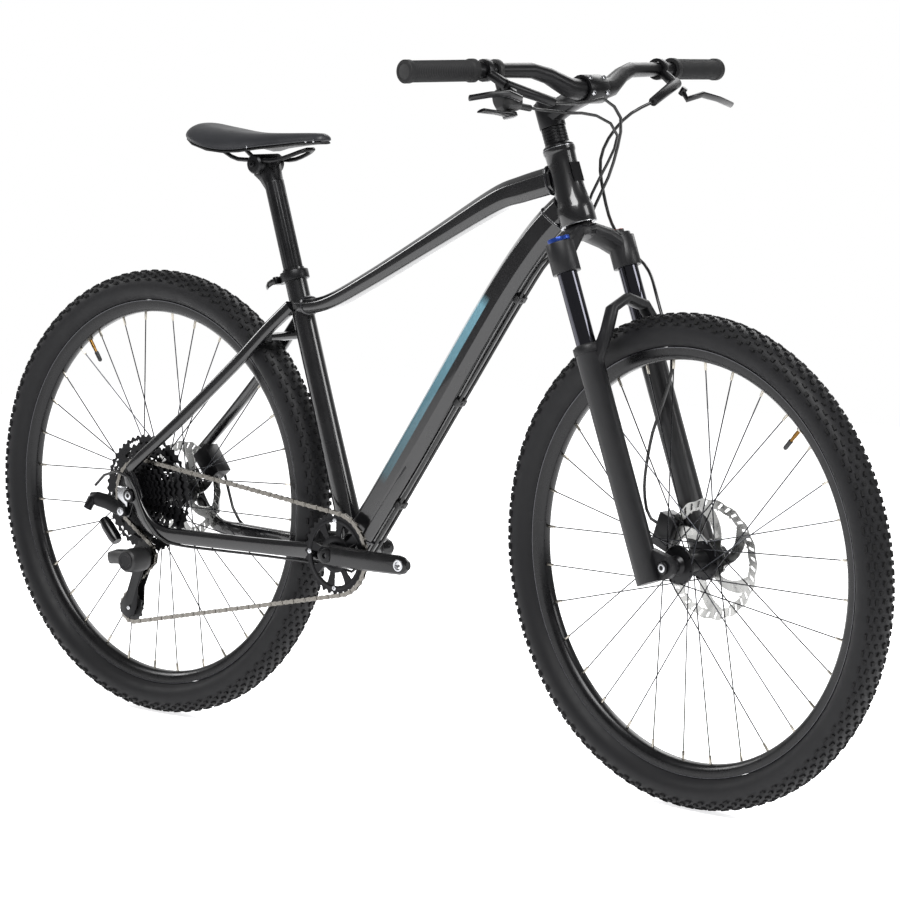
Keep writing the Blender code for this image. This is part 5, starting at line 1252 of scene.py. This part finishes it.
class BIKE_OT_tyres(Maker):
    """Casing with its bead line, and the rows of knobs"""

    bl_idname = "mountain_bike.tyres"
    bl_label = "Tyres"

    def make(self):
        rows = bpy.context.scene.bike_sizes.knob_rows
        for name, body, matrix, *_ in WHEELS:
            profile = CASING + [(radius, -y) for radius, y in reversed(CASING)]
            casing = settle(smooth(turned(name + "_casing", profile, 160), 60), matrix)
            dress(casing, "tyre_flank", body, [name + "_tyre"])
            step = 2 * math.pi / rows
            blocks = []
            for side in (-1, 1):
                pattern = (
                    (0.0042, 0.3617, (0.0085, 0.0062), 0.06, 0.35, 0.0),
                    (0.0112, 0.3603, (0.0070, 0.0058), 0.28, -0.30, 0.5),
                    (0.0170, 0.3583, (0.0100, 0.0050), 0.62, 0.15, 0.0),
                    (0.0213, 0.3545, (0.0080, 0.0056), 0.98, 0.0, 0.5),
                    (0.0243, 0.3502, (0.0105, 0.0040), 1.22, 0.0, 0.0),
                )
                for y, reach, size, lean, twist, late in pattern:
                    piece = knob("knob", side * y, reach, size, side * lean, side * twist)
                    offset = (late + (0.5 if side < 0 else 0.0)) * step
                    settle(piece, Matrix.Rotation(offset, 4, "Y"))
                    blocks.append(piece)
            tread = repeated(joined(name + "_tread", blocks), rows)
            settle(tread, matrix)
            dress(tread, "tread_compound", body)


RIM_HALF = [
    (0.2966, 0.0050), (0.2980, 0.0078), (0.3026, 0.0116), (0.3060, 0.0128), (0.3120, 0.0131),
    (0.3152, 0.0135), (0.3155, 0.0128), (0.3155, 0.0118), (0.3110, 0.0112), (0.3085, 0.0070),
]


class BIKE_OT_rims(Maker):
    """Box rims, a lighter line at each edge that is a painted highlight, and the valves"""

    bl_idname = "mountain_bike.rims"
    bl_label = "Rims and valves"

    def make(self):
        for name, body, matrix, _, valve_angle, *_ in WHEELS:
            profile = RIM_HALF + [(radius, -y) for radius, y in reversed(RIM_HALF)]
            rim = settle(smooth(turned(name + "_rim_made", profile, 160), 40), matrix)
            dress(rim, "anodised_rim", body, [name + "_rim"])
            # The lighter lines round both rim edges are a painted highlight.
            lines = []
            for side in (-1, 1):
                line = [(0.3146, side * 0.01345), (0.3155, side * 0.0137), (0.3158, side * 0.0137),
                        (0.3158, side * 0.0130), (0.3146, side * 0.0130)]
                lines.append(turned("line", line, 160))
            bright = settle(smooth(joined(name + "_rim_edge", lines)), matrix)
            dress(bright, "worn_rim_edge", body)
            angle = math.radians(valve_angle)
            along = Vector((math.cos(angle), 0.0, math.sin(angle)))
            stem = bar_between(
                name + "_valve_stem", [along * r for r in (0.2990, 0.2790, 0.2785, 0.2660)],
                [0.0030, 0.0030, 0.0026, 0.0026], 16,
            )
            dress(settle(smooth(stem), matrix), "valve_brass", body)
            nut = bar_between(
                name + "_valve_nut", [along * r for r in (0.2965, 0.2930)], [0.0055, 0.0050], 6
            )
            dress(settle(nut, matrix), "nickel_brass", body)
            cap = bar_between(
                name + "_valve_cap", [along * r for r in (0.2700, 0.2545, 0.2525)],
                [0.0036, 0.0034, 0.0022], 14,
            )
            dress(settle(smooth(cap), matrix), "moulded_nylon", body)


SPOKES = 32
SPOKE_SET = 4


class BIKE_OT_spokes(Maker):
    """Crossed spokes with bent heads and their nipples, thirty-two to a wheel"""

    bl_idname = "mountain_bike.spokes"
    bl_label = "Spokes"

    def make(self):
        radius = bpy.context.scene.bike_sizes.spoke_radius
        for name, body, matrix, first, _, left_flange, right_flange in WHEELS:
            wires, nipples = [], []
            for index in range(SPOKE_SET):
                side = -1 if index % 2 == 0 else 1
                flange = right_flange if side < 0 else left_flange
                outer = math.radians(first) + 2 * math.pi * index / SPOKES
                lead = 1 if index // 2 == 0 else -1
                inner = outer + math.radians(67.5) * lead
                root_y = flange + 0.0030 * lead
                hole = Vector((0.0262 * math.cos(inner), flange, 0.0262 * math.sin(inner)))
                root = Vector((0.0272 * math.cos(inner), root_y, 0.0272 * math.sin(inner)))
                tip = Vector((0.2935 * math.cos(outer), 0.0022 * side, 0.2935 * math.sin(outer)))
                head = hole - Vector((0, 0.0032 * lead, 0))
                away = (tip - root).normalized()
                wires.append(bar_between(
                    "wire", [head, hole, root + away * 0.0015, root + away * 0.006, tip],
                    [radius * 1.6, radius, radius, radius, radius], 8, (0.2, 0.1, 1.0),
                ))
                base = tip - away * 0.0100
                nipples.append(bar_between(
                    "nipple", [base, base + away * 0.0008, tip + away * 0.003],
                    [0.0015, 0.0020, 0.0021], 8, (0.2, 0.1, 1.0),
                ))
            sets = SPOKES // SPOKE_SET
            spokes = settle(smooth(repeated(joined(name + "_spoke_set", wires), sets)), matrix)
            dress(spokes, "spoke_wire", body, [name + "_spokes"])
            sleeves = settle(smooth(repeated(joined(name + "_nipples", nipples), sets)), matrix)
            dress(sleeves, "nickel_brass", body)


HUB_PROFILES = {
    "rear": [
        (0.0066, -0.0672), (0.0095, -0.0672), (0.0100, -0.0660), (0.0105, -0.0312), (0.0170, -0.0305),
        (0.0185, -0.0238), (0.0286, -0.0231), (0.0290, -0.0226), (0.0290, -0.0195), (0.0286, -0.0190),
        (0.0190, -0.0182), (0.0168, -0.0120), (0.0162, 0.0050), (0.0170, 0.0220), (0.0200, 0.0310),
        (0.0286, 0.0320), (0.0290, 0.0325), (0.0290, 0.0355), (0.0286, 0.0361), (0.0220, 0.0368),
        (0.0215, 0.0500), (0.0218, 0.0560), (0.0110, 0.0568), (0.0095, 0.0660), (0.0092, 0.0672),
        (0.0066, 0.0672),
    ],
    "front": [
        (0.0066, -0.0505), (0.0092, -0.0505), (0.0100, -0.0490), (0.0110, -0.0400), (0.0150, -0.0350),
        (0.0286, -0.0331), (0.0290, -0.0326), (0.0290, -0.0296), (0.0286, -0.0290), (0.0160, -0.0268),
        (0.0142, -0.0200), (0.0138, -0.0050), (0.0142, 0.0100), (0.0160, 0.0180), (0.0286, 0.0201),
        (0.0290, 0.0206), (0.0290, 0.0234), (0.0286, 0.0239), (0.0220, 0.0250), (0.0216, 0.0350),
        (0.0218, 0.0394), (0.0110, 0.0404), (0.0095, 0.0490), (0.0092, 0.0505), (0.0066, 0.0505),
    ],
}
DISCS = {"rear": (0.080, 0.0545), "front": (0.090, 0.0380)}


class BIKE_OT_hubs(Maker):
    """Hub shells with their flanges, and the axles"""

    bl_idname = "mountain_bike.hubs"
    bl_label = "Hubs and axles"

    def make(self):
        for name, body, matrix, *_ in WHEELS:
            shell = settle(smooth(turned(name + "_hub_shell", HUB_PROFILES[name], 56), 30), matrix)
            dress(shell, "satin_anodised_aluminium", body, [name + "_hub"])
            axle_body = "frame" if name == "rear" else "fork_lowers"
            piece = from_cad(name + "_axle_made", name + "_axle", 0.0008)
            dress(piece, "satin_anodised_aluminium", axle_body, [name + "_axle"])
            outside = 0.0800 if name == "rear" else 0.0690
            for side, word in ((-1, "right"), (1, "left")):
                end = bolt(f"{name}_axle_end_{word}", 0.0070, 0.0014, (0, side * (outside - 0.0005), 0),
                           (0, side, 0), 0.55)
                dress(settle(end, matrix), "machined_aluminium", axle_body)


class BIKE_OT_discs(Maker):
    """Wavy slotted brake discs and the bolts that hold them"""

    bl_idname = "mountain_bike.discs"
    bl_label = "Brake discs"

    def make(self):
        for name, body, matrix, *_ in WHEELS:
            edge, y = DISCS[name]
            track = edge - 0.0150

            def outer(turn, edge=edge):
                return edge - 0.0011 + 0.0011 * math.cos(turn * 18)

            def keep(turn, share, radius, edge=edge, track=track):
                if radius < 0.0290:
                    return True
                if radius < track:
                    place = turn - (radius - 0.0290) * 14
                    return math.cos(place * 6) > 0.42
                slot = turn * 36 + (radius - track) * 260
                band = (radius - track) / (edge - track)
                return not (0.22 < band < 0.80 and math.cos(slot) > 0.45)
            disc = polar_plate(name + "_disc_made", 0.0222, outer, keep, 720, 34, 0.0018)
            settle(smooth(disc, 30), matrix @ Matrix.Translation((0, y, 0)))
            dress(disc, "brushed_stainless", body, [name + "_rotor"])
            screw = bolt("disc_screw", 0.0036, 0.0026, (0.0, 0.0016, 0.0258), (0, 1, 0))
            screws = settle(repeated(screw, 6), matrix @ Matrix.Translation((0, y, 0)))
            screws = start(name + "_disc_bolts")
            dress(screws, "satin_anodised_aluminium", body)


class BIKE_OT_calipers(Maker):
    """Brake calipers"""

    bl_idname = "mountain_bike.calipers"
    bl_label = "Brake calipers"

    def make(self):
        for name, body in (("rear_caliper", "frame"), ("front_caliper", "fork_lowers")):
            piece = from_cad(name + "_made", name, 0.0022, 40)
            dress(piece, "satin_anodised_aluminium", body, [name])


# ---------------------------------------------------------------- fork
class BIKE_OT_fork(Maker):
    """Crown, stanchions, dial, air cap and the cast lowers with their seals"""

    bl_idname = "mountain_bike.fork"
    bl_label = "Suspension fork"

    def make(self):
        crown = from_cad("crown_made", "fork_crown", 0.0022, 45)
        dress(crown, "matte_powder_coat", "steering", ["fork_crown"])
        for side, word in ((-1, "right"), (1, "left")):
            profile = [(0.0, -0.290), (0.01480, -0.290), (0.01495, -0.289), (0.01495, -0.037), (0.0, -0.037)]
            leg = smooth(turned("stanchion_made_" + word, profile, 64, "Z"), 30)
            settle(leg, STEERING @ Matrix.Translation((LEG_X, side * LEG_Y, 0)))
            dress(leg, "ground_chrome", "steering", ["stanchion_" + word])
            seal = [(0.0156, -0.1905), (0.0196, -0.1905), (0.0196, -0.1880), (0.0182, -0.1850),
                    (0.0168, -0.1840), (0.0156, -0.1840)]
            ring = smooth(turned("dust_seal_" + word, seal, 48, "Z"))
            settle(ring, STEERING @ Matrix.Translation((LEG_X, side * LEG_Y, 0)))
            dress(ring, "grip_rubber", "fork_lowers")
        dial = from_cad("dial_made", "lockout_dial", 0.0008, 35)
        dress(dial, "blue_anodised", "lockout_dial", ["lockout_dial"])
        knob_profile = [
            (0.0, -0.0200), (0.0088, -0.0200), (0.0088, -0.0168), (0.0080, -0.0160), (0.0, -0.0160)
        ]
        cap = smooth(turned("air_cap", knob_profile, 40, "Z"))
        settle(cap, STEERING @ Matrix.Translation((LEG_X, LEG_Y, 0)))
        dress(cap, "orange_anodised", "steering")
        lowers = from_cad("lowers_made", "fork_lowers", 0.0012, 50)
        dress(lowers, "matte_powder_coat", "fork_lowers", ["fork_lowers"])


# ---------------------------------------------------------------- cockpit
class BIKE_OT_cockpit(Maker):
    """Stem, spacers and bar"""

    bl_idname = "mountain_bike.cockpit"
    bl_label = "Stem and bar"

    def make(self):
        for node, look, bevel, angle in (
            ("stem", "satin_anodised_aluminium", 0.0016, 40),
            ("headset_spacers", "satin_anodised_aluminium", 0.0004, 40),
            ("handlebar", "satin_anodised_aluminium", 0.0, 60),
        ):
            dress(from_cad(node + "_made", node, bevel, angle), look, "steering", [node])
        for number in range(5):
            height = 0.1275 + number * 0.0050
            ring = [(0.0176, height - 0.0021), (0.0186, height - 0.0017), (0.0186, height + 0.0017),
                    (0.0176, height + 0.0021)]
            piece = settle(smooth(turned(f"spacer_{number + 1}", ring, 56, "Z")), HEAD)
            dress(piece, "satin_anodised_aluminium", "steering")
        screws = []
        for y in (-0.0160, 0.0160):
            for up in (-1, 1):
                spot = Vector((BAR_X + 0.0175, y, BAR_Z + up * 0.0115))
                screws.append(bolt("face_bolt", 0.0036, 0.0050, spot, (1, 0, 0)))
        cap = bolt("top_cap", 0.0165, 0.0042, (0, 0, 0.1925), (0, 0, 1), 0.30)
        plates = settle(joined("stem_bolts", screws), HEAD)
        dress(plates, "machined_aluminium", "steering")
        dress(settle(cap, HEAD), "satin_anodised_aluminium", "steering")


BAR_HALF = 0.364
GRIP_LENGTH = 0.135
BAR_END = Vector((BAR_X - 0.0315, BAR_HALF, BAR_Z + 0.040))
BAR_KNEE = Vector((0.0720, 0.1900, 0.2170))


def on_bar(y):
    share = (abs(y) - BAR_KNEE.y) / (BAR_END.y - BAR_KNEE.y)
    point = BAR_KNEE.lerp(BAR_END, share)
    return Vector((point.x, math.copysign(point.y, y), point.z))


class BIKE_OT_grips(Maker):
    """Ribbed rubber grips with a flange, a collar and an end plug"""

    bl_idname = "mountain_bike.grips"
    bl_label = "Grips"

    def make(self):
        for side, word in ((-1, "right"), (1, "left")):
            profile = [(0.0116, 0.0), (0.0168, 0.0), (0.0172, 0.0006), (0.0172, 0.0085), (0.0166, 0.0100)]
            ribs = 34
            first, last = 0.0125, GRIP_LENGTH - 0.0125
            for rib in range(ribs):
                base = first + (last - first) * rib / ribs
                pitch = (last - first) / ribs
                profile += [(0.0150, base), (0.0157, base + 0.30 * pitch), (0.0157, base + 0.62 * pitch)]
            profile += [
                (0.0150, last), (0.0168, GRIP_LENGTH - 0.0105), (0.0170, GRIP_LENGTH - 0.0095),
                (0.0170, GRIP_LENGTH - 0.0018), (0.0160, GRIP_LENGTH - 0.0004),
                (0.0120, GRIP_LENGTH), (0.0116, GRIP_LENGTH),
            ]
            grip = smooth(turned("grip_made_" + word, profile, 48, "Z"), 30)
            inner, outer = on_bar(side * (BAR_HALF - GRIP_LENGTH)), on_bar(side * BAR_HALF)
            turn = (outer - inner).to_track_quat("Z", "Y").to_matrix().to_4x4()
            matrix = HEAD @ Matrix.Translation(inner) @ turn
            dress(settle(grip, matrix), "grip_rubber", "steering", ["grip_" + word])
            plug = [
                (0.0, GRIP_LENGTH - 0.0040), (0.0118, GRIP_LENGTH - 0.0040),
                (0.0118, GRIP_LENGTH - 0.0006), (0.0100, GRIP_LENGTH - 0.0002),
                (0.0, GRIP_LENGTH - 0.0006),
            ]
            cap = settle(smooth(turned("bar_plug_" + word, plug, 40, "Z")), matrix)
            dress(cap, "moulded_nylon", "steering")


class BIKE_OT_controls(Maker):
    """Brake levers, shifter and their blades"""

    bl_idname = "mountain_bike.controls"
    bl_label = "Levers and shifter"

    def make(self):
        for node, body, look, bevel in (
            ("brake_lever_right", "steering", "satin_anodised_aluminium", 0.0009),
            ("brake_lever_left", "steering", "satin_anodised_aluminium", 0.0009),
            ("brake_blade_right", "brake_blade_right", "polished_black_alloy", 0.0007),
            ("brake_blade_left", "brake_blade_left", "polished_black_alloy", 0.0007),
            ("shifter_body", "steering", "moulded_nylon", 0.0011),
            ("shifter_paddle", "shifter_paddle", "polished_black_alloy", 0.0006),
        ):
            dress(from_cad(node + "_made", node, bevel, 40), look, body, [node])


class BIKE_OT_hoses(Maker):
    """Brake hoses and gear housing"""

    bl_idname = "mountain_bike.hoses"
    bl_label = "Hoses and housing"

    def make(self):
        levers = HEAD @ Vector((0.100, 0.0, 0.150))
        first_clip = at(0.745, 0.0, 0.745)
        crown = STEERING @ Vector((0.030, 0.0, -0.030))
        arch = STEERING @ Vector((0.030, 0.0, -0.300))
        for node, one, two, start_at, end_at in (
            ("rear_brake_hose", "frame", "steering", first_clip, levers),
            ("shift_cable", "frame", "steering", first_clip, levers),
            ("front_brake_hose", "steering", "fork_lowers", crown, arch),
        ):
            piece = from_cad(node + "_made", node, 0.0, 70)
            piece.data.materials.append(finish("hose_jacket"))
            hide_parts(node)
            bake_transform(piece)


# ---------------------------------------------------------------- stage
CAMERA_PLACE = Vector((3.9040, -4.3983, 1.1699))
CAMERA_TURN = (math.radians(41.04), math.radians(6.66), math.radians(0.78))
LENS_MM = 153.1
FLOOR_SIZE = 9.0


class BIKE_OT_stage(Maker):
    """Pale floor, soft lights and the camera"""

    bl_idname = "mountain_bike.stage"
    bl_label = "Stage"

    def make(self):
        around, above, roll = CAMERA_TURN
        back = Vector((
            math.sin(around) * math.cos(above), -math.cos(around) * math.cos(above), math.sin(above)
        ))
        right = Vector((math.cos(around), math.sin(around), 0.0))
        up = (-back).cross(right) * -1
        across = right * math.cos(roll) + up * math.sin(roll)
        upward = up * math.cos(roll) - right * math.sin(roll)
        bpy.ops.object.camera_add()
        camera = bpy.context.object
        camera.name = "camera"
        camera.matrix_world = Matrix.Translation(CAMERA_PLACE) @ Matrix(
            (across, upward, back)
        ).transposed().to_4x4()
        camera.data.lens = LENS_MM
        camera.data.sensor_width = 36.0
        camera.data.clip_end = 100.0
        bpy.context.scene.camera = camera
        tidy_deselect()
        bpy.ops.mesh.primitive_plane_add(size=FLOOR_SIZE, location=(0, 0, 0))
        floor = start("floor")
        stage = bpy.context.scene.bike_stage
        tone = linear(stage.floor)
        made, tree, shader, place = begin("studio_floor", {
            "Specular IOR Level": 0.1, "Emission Color": tone, "Emission Strength": stage.floor_glow,
        })
        grained(tree, shader, place, tone, 0.01, 0.75, 0.03, 900.0, 4.0, 0.02)
        floor.data.materials.append(made)
        for name, spot, size, power in (
            ("key", (1.5, -2.0, 4.0), 2.5, stage.key_power),
            ("left", (-4.0, -1.5, 2.4), 1.2, stage.fill_power),
            ("right", (4.0, 1.5, 2.6), 1.6, stage.fill_power),
            ("behind", (-1.0, 3.5, 2.8), 2.4, stage.fill_power),
        ):
            bpy.ops.object.light_add(type="AREA", location=spot)
            lamp = bpy.context.object
            lamp.name = name + "_light"
            lamp.data.shape = "SQUARE"
            lamp.data.size = size
            lamp.data.energy = power
            lamp.rotation_mode = "QUATERNION"
            lamp.rotation_quaternion = (Vector(spot) - Vector((0, 0, 0.5))).to_track_quat("Z", "Y")
        world = bpy.data.worlds.new("studio")
        bpy.context.scene.world = world
        world.use_nodes = True
        tree = world.node_tree
        background = tree.nodes["Background"]
        background.inputs["Color"].default_value = (1.0, 1.0, 1.0, 1.0)
        direction = add(tree, "TexCoord").outputs["Generated"]
        facing = add(tree, "VectorMath", {0: direction, 1: tuple(-back)}, operation="DOT_PRODUCT")
        level = add(tree, "MapRange", {
            "Value": facing.outputs["Value"], "From Min": 0.35, "From Max": 0.90,
            "To Min": stage.room_level, "To Max": 1.0,
        }, interpolation_type="SMOOTHSTEP")
        tree.links.new(level.outputs["Result"], background.inputs["Strength"])
        bpy.context.scene.view_settings.view_transform = "Standard"


OPERATORS = (
    BIKE_OT_stage, BIKE_OT_head_tube, BIKE_OT_main_tubes, BIKE_OT_stays, BIKE_OT_welds, BIKE_OT_bracket,
    BIKE_OT_guides, BIKE_OT_seat, BIKE_OT_saddle, BIKE_OT_cranks, BIKE_OT_chainring, BIKE_OT_chain,
    BIKE_OT_cassette, BIKE_OT_derailleur, BIKE_OT_tyres, BIKE_OT_rims, BIKE_OT_spokes, BIKE_OT_hubs,
    BIKE_OT_discs, BIKE_OT_calipers, BIKE_OT_fork, BIKE_OT_cockpit, BIKE_OT_grips, BIKE_OT_controls,
    BIKE_OT_hoses,
)


class BIKE_PT_panel(bpy.types.Panel):
    """Lists the pieces of the bike"""

    bl_label = "Mountain Bike"
    bl_idname = "BIKE_PT_panel"
    bl_space_type = "VIEW_3D"
    bl_region_type = "UI"
    bl_category = "Mountain Bike"

    def draw(self, context):
        for group in (context.scene.bike_sizes, context.scene.bike_colours, context.scene.bike_stage):
            for word in group.bl_rna.properties.keys():
                if word not in ("rna_type", "name"):
                    self.layout.prop(group, word)
        for operator in OPERATORS:
            self.layout.operator(operator.bl_idname)


CLASSES = (BikeSizes, BikeColours, BikeStage, *OPERATORS, BIKE_PT_panel)


def register():
    for each in CLASSES:
        bpy.utils.register_class(each)
    bpy.types.Scene.bike_sizes = bpy.props.PointerProperty(type=BikeSizes)
    bpy.types.Scene.bike_colours = bpy.props.PointerProperty(type=BikeColours)
    bpy.types.Scene.bike_stage = bpy.props.PointerProperty(type=BikeStage)


def unregister():
    del bpy.types.Scene.bike_stage
    del bpy.types.Scene.bike_colours
    del bpy.types.Scene.bike_sizes
    for each in reversed(CLASSES):
        bpy.utils.unregister_class(each)


def main():
    register()
    for operator in OPERATORS:
        group, word = operator.bl_idname.split(".")
        getattr(getattr(bpy.ops, group), word)()
    tidy_deselect()


if __name__ == "__main__":
    main()
